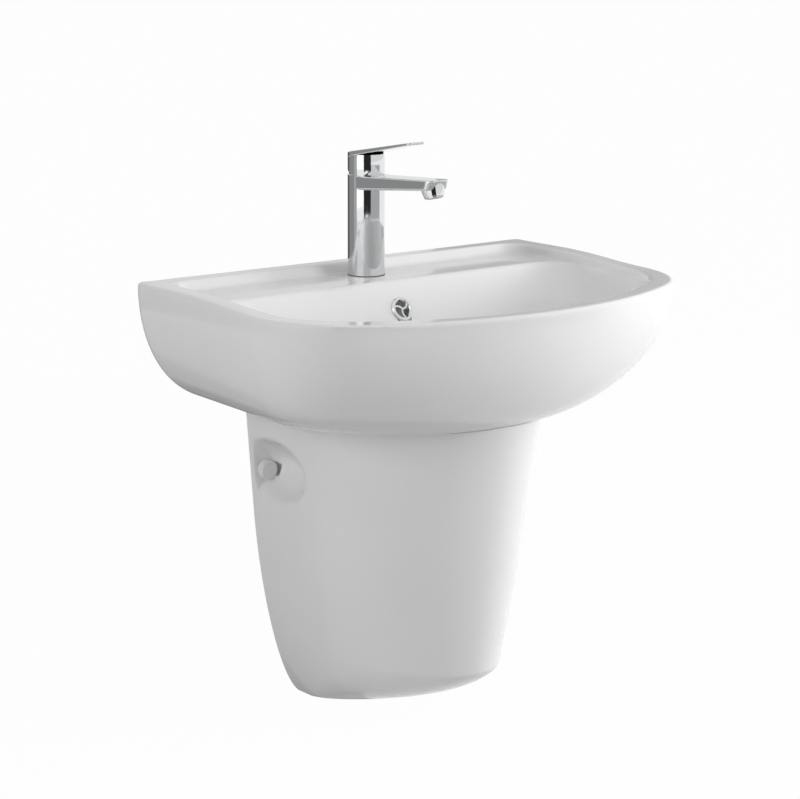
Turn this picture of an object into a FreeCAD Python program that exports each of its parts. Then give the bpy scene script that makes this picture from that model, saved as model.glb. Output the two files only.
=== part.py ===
import FreeCAD, Part
import math
import operator
import os
import Sketcher

# A wall-hung washbasin over a half pedestal, with its lever mixer, click-clack waste, overflow ring,
# bottle trap and wall fixings. Millimetres. The wall is the plane Y = 0, the room lies towards -Y and
# Z is up. The origin is on the wall, midway between the two studs that carry the basin.

SIZES = {
    # Basin, outside. Its plan is a straight side, a corner arc and a nose arc over the front.
    "rim_height": 105,  # from the wall studs up to the rim
    "basin_width": 600,
    "basin_depth": 415,
    "basin_side": 236,  # straight run of each side, out from the wall
    "basin_corner": 141,
    "shell_height": 155,  # rim to underside, at the wall
    "underside_width": 342,
    "underside_depth": 279,
    "underside_side": 125,
    "underside_corner": 81,
    "underside_slope": 1.6,  # degrees, falling towards the front
    "width_roundness": 2.17,
    "depth_roundness": 2.35,
    "rim_fall": 7.5,  # the rim dips from the sides to the front
    "rim_fall_start": 86,
    "rim_fall_run": 186,
    # Basin, inside.
    "rim_band": 27,
    "front_band": 21,
    "wall_ledge": 24,
    "deck_drop": 12,
    "tray_draft": 9,
    "bowl_height": 130,
    "bowl_back": 107,
    "bowl_back_draft": 62,
    "bowl_back_round": 20,
    "bowl_side_draft": 40,
    "bowl_side_round": 90,
    "bowl_front_draft": 6,
    "bowl_front_round": 88,
    "bowl_back_corner": 30,
    "bowl_front_corner": 0.709,  # this and the next two are shares of the bowl's bow over the front
    "bowl_floor_corner": 0.329,
    "bowl_floor_bow": 0.405,
    "ceramic_wall": 13,
    "cavity_width": 336,  # between the webs; outside them the back is open at each end
    "foot_band": 40,  # flat ring under the bowl that the half pedestal butts against
    "duct_width": 50,
    "duct_depth": 12,
    "duct_wall": 8,
    # Overflow.
    "overflow_drop": 46,
    "overflow_hole": 24,
    "overflow_ring": 31,
    "ring_flange": 2.4,
    "ring_wall": 1.6,
    "ring_spoke": 2.2,
    # Half pedestal.
    "pedestal_width": 295,
    "pedestal_depth": 335,
    "pedestal_bottom": 560,  # rim to lowest point
    "pedestal_collar": 150,  # rim to the untrimmed top
    "pedestal_side_share": 0.415,
    "pedestal_nose_power": 4,
    "pedestal_width_draft": 33,
    "pedestal_width_round": 54,
    "pedestal_depth_draft": 62,
    "pedestal_depth_round": 240,
    "pedestal_wall": 11,
    "seat_gap": 0.3,
    # Half pedestal fixing, on each side.
    "lug_drop": 252,  # rim to the screw
    "lug_inset": 16,
    "lug_wall": 12,
    "dimple_height": 80,
    "dimple_length": 128,
    "dimple_depth": 48,
    "dimple_rise": 6,
    "pedestal_screw": 7,
    "screw_into_wall": 48,
    "cap_diameter": 25,
    "cap_height": 9,
    # Basin wall studs.
    "stud_spacing": 280,
    "stud_diameter": 10,
    "stud_wood_thread": 9.6,
    "stud_length": 112,
    "stud_into_wall": 63,
    "bush_diameter": 18,
    "bush_flange": 32,
    "washer_diameter": 30,
    "washer_thickness": 2.5,
    "stud_nut_size": 19,  # across the corners
    "stud_nut_height": 8,
    "close_fit": 0.1,
    "free_fit": 0.4,
    # Mixer.
    "tap_from_wall": 57,
    "tap_hole": 35,
    "tap_diameter": 46,
    "tap_height": 125,  # base to the seam under the lever
    "tap_wall": 3,
    "base_gasket": 2,
    "spout_reach": 145,
    "spout_rise": 6.5,
    "spout_root_width": 44,
    "spout_root_height": 18.5,
    "spout_tip_width": 34,
    "spout_tip_corner": 10,
    "spout_tip_height": 12.5,
    "spout_edge": 3,
    "nozzle_reach": 129,
    "nozzle_tilt": 15,
    "nozzle_diameter": 23,
    "nozzle_drop": 9,
    "aerator_height": 7,
    "aerator_bore": 18,
    "shank_diameter": 32,
    "shank_length": 10,
    "inlet_bore": 9,
    "inlet_spacing": 15,
    "inlet_depth": 12,
    "tap_stud": 8,
    "tap_stud_length": 62,
    "tap_stud_offset": 10,  # towards the wall
    "horseshoe_width": 44,
    "horseshoe_gap": 26,
    "horseshoe_rubber": 3,
    "horseshoe_steel": 2.5,
    "tap_nut_size": 15,
    "tap_nut_height": 12,
    # Cartridge.
    "cartridge_diameter": 35,
    "cartridge_height": 28,
    "cartridge_wall": 2,
    "cartridge_floor": 10,
    "disc_thickness": 4,
    "slider_diameter": 19.6,
    "slider_height": 8,
    "slider_block": 12,
    "slider_block_height": 3.6,
    "disc_gap": 0.05,
    "turret_diameter": 26,
    "turret_height": 12.5,
    "pin_diameter": 3,
    "spindle_width": 8,
    "spindle_ball": 6,
    "spindle_drop": 12.6,  # pivot to the ball that drives the ceramic disc
    "pivot_above_seam": 1,
    "spindle_neck": 4,
    "ring_nut": 38.5,
    "ring_nut_height": 7,
    "ring_nut_collar": 32.6,
    "dome_bore": 33,
    "dome_radius": 21.5,
    "dome_height": 11,
    # Lever.
    "lever_seam": 0.6,
    "lever_height": 30,
    "lever_rise": 10,  # degrees
    "lever_reach": 100,
    "lever_thickness": 6,
    "lever_tip_thickness": 2.5,
    "lever_tip_width": 26,
    "lever_lift": 22,  # degrees
    "lever_socket": 13,
    "grub_screw": 5,
    "index_cap": 7,
    "index_cap_depth": 4.2,
    # Waste.
    "waste_from_wall": 232,
    "waste_hole": 45,
    "waste_recess": 67,
    "waste_recess_depth": 3,
    "waste_flange": 64,
    "waste_flange_thickness": 2.2,
    "waste_tube": 40,
    "waste_tube_wall": 2.6,
    "waste_length": 70,
    "waste_gasket": 2,
    "waste_nut": 60,
    "waste_nut_height": 9,
    "plug_diameter": 58,
    "plug_crown": 4,
    "plug_lift": 9,
    "plug_stem": 10,
    # Trap.
    "tailpiece": 32,
    "pipe_wall": 1.8,
    "trap_diameter": 62,
    "trap_height": 96,
    "trap_wall": 3,
    "trap_outlet_drop": 34,
    "slip_nut": 50,
    "slip_nut_height": 18,
    "slip_seal": 4,
    "cup_height": 36,
    "outlet_into_wall": 38,
    "outlet_mark": 0.4,  # depth of the ring groove that marks how far the pipe goes in
    "outlet_mark_width": 2,
    "rosette_diameter": 76,
    "rosette_depth": 10,
}

doc = FreeCAD.newDocument("Washbasin")
sheet = doc.addObject("Spreadsheet::Sheet", "Sizes")
for row, (name, value) in enumerate(SIZES.items(), start=1):
    sheet.set(f"A{row}", name)
    sheet.set(f"B{row}", str(value))
    sheet.setAlias(f"B{row}", name)
doc.recompute()

OPERATIONS = {
    "+": operator.add,
    "-": operator.sub,
    "*": operator.mul,
    "/": operator.truediv,
    "^": operator.pow,
}


class Measure(float):
    """A number with the spreadsheet formula that it comes from, so that properties stay bound to it."""

    def __new__(cls, value, formula):
        measure = super().__new__(cls, value)
        measure.formula = formula
        return measure

    def __add__(self, other):
        return combine(self, "+", other)

    def __radd__(self, other):
        return combine(other, "+", self)

    def __sub__(self, other):
        return combine(self, "-", other)

    def __rsub__(self, other):
        return combine(other, "-", self)

    def __mul__(self, other):
        return combine(self, "*", other)

    def __rmul__(self, other):
        return combine(other, "*", self)

    def __truediv__(self, other):
        return combine(self, "/", other)

    def __pow__(self, other):
        return combine(self, "^", other)

    def __neg__(self):
        return combine(0, "-", self)


def formula_of(value):
    return value.formula if isinstance(value, Measure) else f"({float(value):.9f})"


def combine(left, sign, right):
    value = OPERATIONS[sign](float(left), float(right))
    return Measure(value, f"({formula_of(left)} {sign} {formula_of(right)})")


class Sizes:
    """The spreadsheet's cells as attributes."""

    def __getattr__(self, name):
        return Measure(sheet.get(name), f"Sizes.{name}")


size = Sizes()
AXES = {
    "Z": FreeCAD.Rotation(),
    "-Z": FreeCAD.Rotation(FreeCAD.Vector(1, 0, 0), 180),
    "Y": FreeCAD.Rotation(FreeCAD.Vector(1, 0, 0), -90),
    "-Y": FreeCAD.Rotation(FreeCAD.Vector(1, 0, 0), 90),
    "X": FreeCAD.Rotation(FreeCAD.Vector(0, 1, 0), 90),
    "side": FreeCAD.Rotation(FreeCAD.Vector(1, 1, 1), 120),
}
pieces = []


def set_property(item, path, value):
    """Sets a property, and binds it to the spreadsheet where its value comes from there."""
    if isinstance(value, Measure):
        item.setExpression(path, value.formula)
    else:
        setattr(item, path, value)


def place(item, x=0, y=0, z=0, along="Z", rotation=None):
    """Puts an item's origin at x, y, z with its own Z along the named direction."""
    item.Placement = FreeCAD.Placement(FreeCAD.Vector(x, y, z), rotation or AXES[along])
    for axis, value in zip("xyz", (x, y, z)):
        if isinstance(value, Measure):
            item.setExpression(f"Placement.Base.{axis}", value.formula)
    return item


def piece(label, item):
    item.Label = label
    pieces.append(item)
    return item


def cylinder(name, diameter, length, **where):
    item = doc.addObject("Part::Cylinder", name)
    set_property(item, "Radius", diameter / 2)
    set_property(item, "Height", length)
    return place(item, **where)


def sphere(name, radius, **where):
    item = doc.addObject("Part::Sphere", name)
    set_property(item, "Radius", radius)
    return place(item, **where)


def cone(name, low_diameter, high_diameter, length, **where):
    item = doc.addObject("Part::Cone", name)
    set_property(item, "Radius1", low_diameter / 2)
    set_property(item, "Radius2", high_diameter / 2)
    set_property(item, "Height", length)
    return place(item, **where)


def box(name, x_range, y_range, z_range):
    item = doc.addObject("Part::Box", name)
    for side, (low, high) in zip(("Length", "Width", "Height"), (x_range, y_range, z_range)):
        set_property(item, side, high - low)
    return place(item, x_range[0], y_range[0], z_range[0])


def hexagon(name, across_corners, height, **where):
    item = doc.addObject("Part::Prism", name)
    item.Polygon = 6
    set_property(item, "Circumradius", across_corners / 2)
    set_property(item, "Height", height)
    return place(item, **where)


def joined(name, *items):
    item = doc.addObject("Part::MultiFuse", name)
    item.Shapes = list(items)
    return item


def without(name, base, *tools):
    item = doc.addObject("Part::Cut", name)
    item.Base = base
    item.Tool = tools[0] if len(tools) == 1 else joined(f"{name}_tools", *tools)
    return item


def shared(name, *items):
    item = doc.addObject("Part::MultiCommon", name)
    item.Shapes = list(items)
    return item


def mirrored(name, source):
    item = doc.addObject("Part::Mirroring", name)
    item.Source = source
    item.Normal = FreeCAD.Vector(1, 0, 0)
    return item


def pair(label, right):
    """Two identical pieces, left and right of the middle, as separate solids of one node."""
    item = doc.addObject("Part::Compound", label)
    item.Links = [right, mirrored(f"{label}_left", right)]
    return piece(label, item)


def draw_polygon(sketch, corners):
    """A closed outline of straight lines whose corners are bound to the spreadsheet."""
    points = [FreeCAD.Vector(x, y, 0) for x, y in corners]
    for start, end in zip(points, points[1:] + points[:1]):
        sketch.addGeometry(Part.LineSegment(start, end), False)
    count = len(corners)
    for index, corner in enumerate(corners):
        sketch.addConstraint(Sketcher.Constraint("Coincident", index, 2, (index + 1) % count, 1))
        for kind, value in zip(("DistanceX", "DistanceY"), corner):
            number = sketch.addConstraint(Sketcher.Constraint(kind, -1, 1, index, 1, float(value)))
            if isinstance(value, Measure):
                sketch.setExpression(f"Constraints[{number}]", value.formula)


def turned(label, outline, **where):
    """A body of revolution: the outline's points are (radius, height) about its own Z axis."""
    body = doc.addObject("PartDesign::Body", label)
    sketch = body.newObject("Sketcher::SketchObject", f"{label}_outline")
    upright = next(item for item in body.Origin.OriginFeatures if item.Role == "XZ_Plane")
    sketch.AttachmentSupport = [(upright, "")]
    sketch.MapMode = "FlatFace"
    draw_polygon(sketch, outline)
    revolution = body.newObject("PartDesign::Revolution", f"{label}_turned")
    revolution.Profile = (sketch, [""])
    revolution.ReferenceAxis = (sketch, ["V_Axis"])
    revolution.Angle = 360
    body.Tip = revolution
    place(body, **where)
    return body


def tube(label, outside, inside, length, **where):
    """A plain ring or pipe."""
    outline = [(inside / 2, 0), (outside / 2, 0), (outside / 2, length), (inside / 2, length)]
    return turned(label, outline, **where)


def slab(name, half_width, corners):
    """A solid with the given (y, z) outline, even about the middle plane."""
    sketch = doc.addObject("Sketcher::SketchObject", f"{name}_outline")
    draw_polygon(sketch, corners)
    place(sketch, along="side")
    item = doc.addObject("Part::Extrusion", name)
    item.Base = sketch
    item.DirMode = "Normal"
    item.Solid = True
    item.Symmetric = True
    set_property(item, "LengthFwd", 2 * half_width)
    return item


def nose_radius(half_width, reach, corner):
    """Radius of the arc over the front that is tangent to two corner arcs.

    reach is how far the front lies beyond the ends of the straight sides."""
    across = half_width - corner
    return (across * across + reach * reach - corner * corner) / (2 * (reach - corner))


def arch(name, half_width, front, side, nose, z, back=0, back_corner=None, tilt=None):
    """A plan outline at height z: straight back, straight sides, corner arcs and a nose arc in front.

    back, side and front are distances from the wall of the back line, the ends of the straight sides
    and the middle of the front. The corner arcs take the radius that keeps the outline smooth."""
    reach = float(front - side)
    width, radius = float(half_width), float(nose)
    corner = (width**2 + reach**2 - 2 * reach * radius) / (2 * (width - radius))
    centre_x = width - corner
    nose_y = -float(front) + radius
    side_y = -float(side)
    toward = 1 if corner > radius else -1
    turn = math.atan2(toward * (side_y - nose_y), -toward * centre_x)
    back_y = -float(back)
    inset = float(back_corner) if back_corner else 0
    vector = FreeCAD.Vector
    up = vector(0, 0, 1)

    def arc(x, y, arc_radius, start, end):
        return Part.ArcOfCircle(Part.Circle(vector(x, y, 0), up, arc_radius), start, end)

    sketch = doc.addObject("Sketcher::SketchObject", name)
    sketch.addGeometry(
        [
            Part.LineSegment(vector(width - inset, back_y, 0), vector(inset - width, back_y, 0)),
            Part.LineSegment(vector(-width, back_y - inset, 0), vector(-width, side_y, 0)),
            arc(-centre_x, side_y, corner, math.pi, math.pi + turn),
            arc(0, nose_y, radius, math.pi + turn, 2 * math.pi - turn),
            arc(centre_x, side_y, corner, -turn, 0),
            Part.LineSegment(vector(width, side_y, 0), vector(width, back_y - inset, 0)),
        ],
        False,
    )
    bound = []

    def limit(value, kind, *geometry):
        number = sketch.addConstraint(Sketcher.Constraint(kind, *geometry, float(value)))
        bound.append((number, value))

    def tie(kind, *geometry):
        sketch.addConstraint(Sketcher.Constraint(kind, *geometry))

    tie("Symmetric", 0, 1, 0, 2, -2)
    limit(back * -1, "DistanceY", -1, 1, 0, 1)
    if back_corner:
        sketch.addGeometry(
            [
                arc(inset - width, back_y - inset, inset, math.pi / 2, math.pi),
                arc(width - inset, back_y - inset, inset, 0, math.pi / 2),
            ],
            False,
        )
        limit(2 * (half_width - back_corner), "DistanceX", 0, 2, 0, 1)
        tie("Tangent", 0, 2, 6, 1)
        tie("Tangent", 6, 2, 1, 1)
        tie("Tangent", 0, 1, 7, 2)
        tie("Tangent", 7, 1, 5, 2)
        limit(back_corner, "Radius", 6)
        limit(back_corner, "Radius", 7)
    else:
        limit(2 * half_width, "DistanceX", 0, 2, 0, 1)
        tie("Coincident", 0, 2, 1, 1)
        tie("Coincident", 0, 1, 5, 2)
    tie("Vertical", 1)
    tie("Vertical", 5)
    limit(side * -1, "DistanceY", -1, 1, 1, 2)
    limit(side * -1, "DistanceY", -1, 1, 5, 1)
    tie("PointOnObject", 3, 3, -2)
    limit(nose, "Radius", 3)
    limit(nose - front, "DistanceY", -1, 1, 3, 3)
    tie("Tangent", 1, 2, 2, 1)
    tie("Tangent", 2, 2, 3, 1)
    tie("Tangent", 3, 2, 4, 1)
    tie("Tangent", 4, 2, 5, 1)
    for number, value in bound:
        if isinstance(value, Measure):
            sketch.setExpression(f"Constraints[{number}]", value.formula)
    place(sketch, z=z)
    if tilt is not None:
        sketch.Placement.Rotation = FreeCAD.Rotation(FreeCAD.Vector(1, 0, 0), float(tilt))
        sketch.setExpression("Placement.Rotation.Angle", tilt.formula)
    return sketch


def loft(name, sections):
    item = doc.addObject("Part::Loft", name)
    item.Sections = sections
    item.Solid = True
    item.Ruled = False
    item.MaxDegree = 3
    return item


def curl(share, start, power):
    """How far an edge has rolled over at a share of the way down: 0 until start, then 1 at the end."""
    past = max(0.0, (share - start) / (1 - start))
    return 1 - (1 - past**power) ** (1 / power)


RIM = size.rim_height
DECK = RIM - size.deck_drop

# ---------------------------------------------------------------------------------------------------
# Basin
# ---------------------------------------------------------------------------------------------------


def basin_shell(name, lower=0, inset=0):
    """The basin's outer form, from the rim to its flat underside, a superellipse in side view."""
    sections = []
    steps = 9
    for step in range(steps + 1):
        fall = math.sin(math.pi / 2 * step / steps)
        wide = (1 - fall ** float(size.width_roundness)) ** (1 / float(size.width_roundness))
        deep = (1 - fall ** float(size.depth_roundness)) ** (1 / float(size.depth_roundness))
        half_width = (size.underside_width + (size.basin_width - size.underside_width) * wide) / 2 - inset
        front = size.underside_depth + (size.basin_depth - size.underside_depth) * deep - inset
        side = size.underside_side + (size.basin_side - size.underside_side) * deep
        corner = size.underside_corner + (size.basin_corner - size.underside_corner) * wide - inset
        nose = nose_radius(half_width, front - side, corner)
        height = RIM - (size.shell_height - inset) * fall - lower
        tilt = size.underside_slope * fall
        back = inset * -1
        sections.append(arch(f"{name}_{step}", half_width, front, side, nose, height, back, tilt=tilt))
    return loft(name, sections)


def rim_cutter():
    """Everything above the rim's line, which dips in a smooth double bend towards the front."""
    start = -size.rim_fall_start
    middle = start - size.rim_fall_run / 2
    end = start - size.rim_fall_run
    half_fall = size.rim_fall / 2
    radius = (size.rim_fall_run * size.rim_fall_run / 4 + half_fall * half_fall) / (2 * half_fall)
    low = RIM - size.rim_fall
    beyond = -size.basin_depth - size.ceramic_wall
    top = RIM + size.deck_drop
    behind = size.ceramic_wall
    corners = [
        (behind, RIM),
        (behind, top),
        (beyond, top),
        (beyond, low),
        (end, low),
        (middle, low + half_fall),
        (start, RIM),
    ]
    sketch = doc.addObject("Sketcher::SketchObject", "rim_line")
    points = [FreeCAD.Vector(x, y, 0) for x, y in corners]
    turn = math.asin(float(size.rim_fall_run / 2 / radius))
    quarter = math.pi / 2
    circle_low = Part.Circle(FreeCAD.Vector(end, low + radius, 0), FreeCAD.Vector(0, 0, 1), radius)
    circle_high = Part.Circle(FreeCAD.Vector(start, RIM - radius, 0), FreeCAD.Vector(0, 0, 1), radius)
    for start_point, end_point in zip(points[:4], points[1:5]):
        sketch.addGeometry(Part.LineSegment(start_point, end_point), False)
    sketch.addGeometry(Part.ArcOfCircle(circle_low, -quarter, turn - quarter), False)
    sketch.addGeometry(Part.ArcOfCircle(circle_high, quarter, quarter + turn), False)
    sketch.addGeometry(Part.LineSegment(points[6], points[0]), False)
    joints = [(0, 2, 1, 1), (1, 2, 2, 1), (2, 2, 3, 1), (3, 2, 4, 1), (4, 2, 5, 2), (5, 1, 6, 1), (6, 2, 0, 1)]
    for joint in joints:
        sketch.addConstraint(Sketcher.Constraint("Coincident", *joint))
    ends = [(0, 1), (1, 1), (2, 1), (3, 1), (4, 1), (5, 2), (6, 1)]
    for (geometry, end_number), corner in zip(ends, corners):
        for kind, value in zip(("DistanceX", "DistanceY"), corner):
            constraint = Sketcher.Constraint(kind, -1, 1, geometry, end_number, float(value))
            number = sketch.addConstraint(constraint)
            sketch.setExpression(f"Constraints[{number}]", value.formula)
    for geometry in (4, 5):
        number = sketch.addConstraint(Sketcher.Constraint("Radius", geometry, float(radius)))
        sketch.setExpression(f"Constraints[{number}]", radius.formula)
    place(sketch, along="side")
    cutter = doc.addObject("Part::Extrusion", "rim_cutter")
    cutter.Base = sketch
    cutter.DirMode = "Normal"
    cutter.Solid = True
    cutter.Symmetric = True
    set_property(cutter, "LengthFwd", size.basin_width + 2 * size.ceramic_wall)
    return cutter


def bowl_hollow():
    """The bowl: a sloping back wall, flared sides, and a rolled foot into a flat floor."""
    sections = []
    half_rim = size.basin_width / 2 - size.rim_band
    front_rim = size.basin_depth - size.front_band
    bow = front_rim - size.basin_side
    run_in = size.bowl_front_draft + size.bowl_front_round
    for share in (-0.1, 0.0, 0.2, 0.4, 0.55, 0.68, 0.79, 0.88, 0.94, 0.98, 1.0):
        side_curl = curl(share, 0.3, 2.2)
        front_curl = curl(share, 0.4, 2.4)
        half_width = half_rim - size.bowl_side_draft * share - size.bowl_side_round * side_curl
        front = front_rim - size.bowl_front_draft * share - size.bowl_front_round * front_curl
        back = size.bowl_back + size.bowl_back_draft * share + size.bowl_back_round * curl(share, 0.6, 2)
        side = front - bow * (1 - (1 - size.bowl_floor_bow) * (front_rim - front) / run_in)
        corner = bow * (size.bowl_front_corner + (size.bowl_floor_corner - size.bowl_front_corner) * share)
        nose = nose_radius(half_width, front - side, corner)
        height = RIM - size.bowl_height * share
        back_corner = size.bowl_back_corner * (1 + 0.5 * share)
        sections.append(arch(f"bowl_{len(sections)}", half_width, front, side, nose, height, back, back_corner))
    return loft("bowl_hollow", sections)


def tray_hollow():
    """The sunken tap deck between the ledge along the wall and the bowl."""
    sections = []
    half_rim = size.basin_width / 2 - size.rim_band
    front = size.bowl_back + size.bowl_back_draft
    for number, share in enumerate((-0.5, 1.0)):
        half_width = half_rim - size.tray_draft * share
        back = size.wall_ledge + size.tray_draft * share
        height = RIM - size.deck_drop * share
        side = front - size.bowl_back_corner
        nose = nose_radius(half_width, size.bowl_back_corner, size.bowl_back_corner / 2)
        corner = size.bowl_back_corner
        sections.append(arch(f"tray_{number}", half_width, front, side, nose, height, back, corner))
    return loft("tray_hollow", sections)


def back_of_bowl(drop):
    """Distance from the wall of the bowl's back face at a drop below the rim, above its rolled foot."""
    return size.bowl_back + size.bowl_back_draft * drop / size.bowl_height


deck_under = size.deck_drop + size.ceramic_wall
floor_under = size.bowl_height + size.ceramic_wall
far_below = size.shell_height + 3 * size.ceramic_wall
WASTE_Y = -size.waste_from_wall
TAP_Y = -size.tap_from_wall


def behind_bowl(drop, back_off):
    """A (y, z) corner that lies back_off behind the bowl's back face."""
    return (back_off - back_of_bowl(drop), RIM - drop)


def service_cavity():
    """The hollow under the tap deck and under the bowl, open below, less the overflow's duct and boss."""
    wall = size.ceramic_wall
    behind = slab(
        "deck_cavity",
        size.cavity_width / 2,
        [
            (-wall, RIM - deck_under),
            behind_bowl(deck_under, wall),
            behind_bowl(floor_under, wall),
            (-back_of_bowl(floor_under), RIM - far_below),
            (-wall, RIM - far_below),
        ],
    )
    half_width = size.underside_width / 2 - size.foot_band
    front = size.underside_depth - size.foot_band
    side = size.underside_side
    nose = nose_radius(half_width, front - side, size.underside_corner)
    sections = []
    for number, drop in enumerate((floor_under, far_below)):
        sections.append(arch(f"recess_{number}", half_width, front, side, nose, RIM - drop, wall))
    under = loft("belly_recess", sections)
    ends = shared(
        "cavity_ends",
        basin_shell("cavity_shell", inset=wall),
        slab(
            "cavity_ends_slab",
            size.basin_width / 2,
            [
                (wall / 2, RIM - deck_under),
                behind_bowl(deck_under, wall),
                behind_bowl(floor_under, wall),
                (wall / 2, RIM - floor_under),
            ],
        ),
    )
    web = size.cavity_width / 2 + wall
    webs = box(
        "cavity_webs",
        (web * -1, web),
        (size.bowl_back * -2, wall),
        (RIM - far_below, RIM),
    )
    beside = without("beside_cavity", ends, webs)
    rib_depth = size.duct_depth + size.duct_wall
    rib = slab(
        "duct_rib",
        size.duct_width / 2 + size.duct_wall,
        [
            behind_bowl(deck_under, 0),
            behind_bowl(deck_under, wall + rib_depth),
            behind_bowl(floor_under, wall + rib_depth),
            (size.duct_wall + size.duct_depth + wall - back_of_bowl(floor_under), RIM - size.shell_height),
            (WASTE_Y, RIM - size.shell_height),
            (WASTE_Y, RIM - size.bowl_height),
        ],
    )
    boss_height = size.shell_height - size.bowl_height
    boss = cylinder("waste_boss", size.waste_recess + wall, boss_height, y=WASTE_Y, z=RIM - size.shell_height)
    pocket = cylinder(
        "waste_pocket", size.waste_nut + 2 * wall, far_below - size.shell_height, y=WASTE_Y, z=RIM - far_below
    )
    return without("service_cavity", joined("cavity_space", behind, beside, under, pocket), rib, boss)


def overflow_duct():
    """The way from the overflow down behind the bowl and under its floor into the waste hole."""
    wall = size.ceramic_wall
    top = size.overflow_drop - size.overflow_hole / 2
    low = floor_under - wall / 2
    duct = size.duct_depth
    return slab(
        "overflow_duct",
        size.duct_width / 2,
        [
            behind_bowl(top, wall),
            behind_bowl(top, wall + duct),
            behind_bowl(low + duct, wall + duct),
            (WASTE_Y, RIM - low - duct),
            (WASTE_Y, RIM - low),
            behind_bowl(low, wall),
        ],
    )


overflow_tilt = math.degrees(math.atan(float(size.bowl_back_draft / size.bowl_height)))
OVERFLOW_TURN = FreeCAD.Rotation(FreeCAD.Vector(1, 0, 0), 90 - overflow_tilt)
OVERFLOW_AT = {"y": -back_of_bowl(size.overflow_drop), "z": RIM - size.overflow_drop}


def build_basin():
    shell = without("trimmed_shell", basin_shell("basin_shell"), rim_cutter())
    wall = size.ceramic_wall
    half_spacing = size.stud_spacing / 2
    stud_holes = [
        cylinder(f"stud_hole_{number}", size.bush_diameter + size.free_fit, 2 * wall, x=x, y=wall / 2, along="-Y")
        for number, x in enumerate((half_spacing, -half_spacing))
    ]
    tap_hole = cylinder(
        "tap_hole", size.tap_hole, 2 * deck_under, y=TAP_Y, z=RIM - deck_under - wall / 2
    )
    waste_hole = cylinder("waste_hole", size.waste_hole, 2 * size.bowl_height, y=WASTE_Y, z=-size.bowl_height)
    recess = cylinder(
        "waste_recess",
        size.waste_recess,
        size.bowl_height,
        y=WASTE_Y,
        z=RIM - size.bowl_height - size.waste_recess_depth,
    )
    overflow = doc.addObject("Part::Cylinder", "overflow_hole")
    set_property(overflow, "Radius", size.overflow_hole / 2)
    set_property(overflow, "Height", 3 * wall)
    across = 1.5 * math.cos(math.radians(overflow_tilt))
    up = 1.5 * math.sin(math.radians(overflow_tilt))
    place(
        overflow,
        y=OVERFLOW_AT["y"] + wall * across,
        z=OVERFLOW_AT["z"] - wall * up,
        rotation=OVERFLOW_TURN,
    )
    hollows = joined("basin_hollows", bowl_hollow(), tray_hollow(), service_cavity(), overflow_duct())
    holes = joined("basin_holes", tap_hole, waste_hole, recess, overflow, *stud_holes)
    return piece("basin", without("basin", shell, hollows, holes))


build_basin()


def build_overflow_ring():
    """A chrome bezel on the bowl's back wall: flange, sleeve and three curved spokes."""
    flange = size.ring_flange
    opening = size.overflow_hole - 2 * size.ring_wall - size.close_fit
    bezel = turned(
        "ring_bezel",
        [
            (opening / 2, -size.ceramic_wall),
            (size.overflow_hole / 2 - size.close_fit, -size.ceramic_wall),
            (size.overflow_hole / 2 - size.close_fit, 0),
            (size.overflow_ring / 2, 0),
            (size.overflow_ring / 2, flange / 3),
            (size.overflow_ring / 2 - flange / 2, flange),
            (opening / 2 + flange / 2, flange),
            (opening / 2, flange / 3),
        ],
    )
    arc_radius = opening * 0.42
    spokes = []
    for number in range(3):
        turn = FreeCAD.Rotation(FreeCAD.Vector(0, 0, 1), 120 * number)
        centre = turn.multVec(FreeCAD.Vector(0, arc_radius, 0))
        outer = cylinder(f"spoke_{number}_outer", 2 * arc_radius + size.ring_spoke, flange / 2)
        inner = cylinder(f"spoke_{number}_inner", 2 * arc_radius - size.ring_spoke, flange / 2)
        for disc in (outer, inner):
            disc.Placement.Base = centre
        arc = without(f"spoke_{number}_arc", outer, inner)
        reach = float(opening / 2 + flange / 4)
        half = doc.addObject("Part::Box", f"spoke_{number}_half")
        half.Length = reach
        half.Width = 2 * reach
        half.Height = float(flange)
        half.Placement = FreeCAD.Placement(turn.multVec(FreeCAD.Vector(0, -reach / 2, 0)), turn)
        within = cylinder(f"spoke_{number}_within", opening + flange / 2, flange)
        spokes.append(shared(f"spoke_{number}", arc, half, within))
    ring = joined("overflow_ring", bezel, *spokes)
    place(ring, y=OVERFLOW_AT["y"], z=OVERFLOW_AT["z"], rotation=OVERFLOW_TURN)
    return piece("overflow_ring", ring)


build_overflow_ring()

# ---------------------------------------------------------------------------------------------------
# Half pedestal
# ---------------------------------------------------------------------------------------------------

pedestal_height = size.pedestal_bottom - size.pedestal_collar
lug_share = (size.lug_drop - size.pedestal_collar) / pedestal_height
LUG_X = size.pedestal_width / 2 - size.pedestal_width_draft * lug_share - size.lug_inset
LUG_Z = RIM - size.lug_drop
PEDESTAL_SHARES = (0, 0.1, 0.2, 0.3, 0.4, 0.5, 0.6, 0.7, 0.78, 0.84, 0.88, 0.915, 0.945, 0.966, 0.982, 0.993)


def pedestal_form(name, inset=0, back=0, lift=0, shares=()):
    """The half pedestal's form: a pointed arch in plan that narrows and rolls in to a rounded foot."""
    sections = []
    for share in (*shares, *PEDESTAL_SHARES):
        width_curl = size.pedestal_width_round * curl(share, 0.383, 1.85)
        depth_curl = size.pedestal_depth_round * curl(share, 0.784, 1.4)
        half_width = size.pedestal_width / 2 - size.pedestal_width_draft * share - width_curl - inset
        depth = size.pedestal_depth - size.pedestal_depth_draft * share - depth_curl
        side = size.pedestal_side_share * depth
        front = depth - inset
        nose = half_width * (half_width / (front - side)) ** size.pedestal_nose_power
        height = RIM - size.pedestal_collar - (pedestal_height - lift) * share
        sections.append(arch(f"{name}_{len(sections)}", half_width, front, side, nose, height, back))
    return loft(name, sections)


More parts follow.
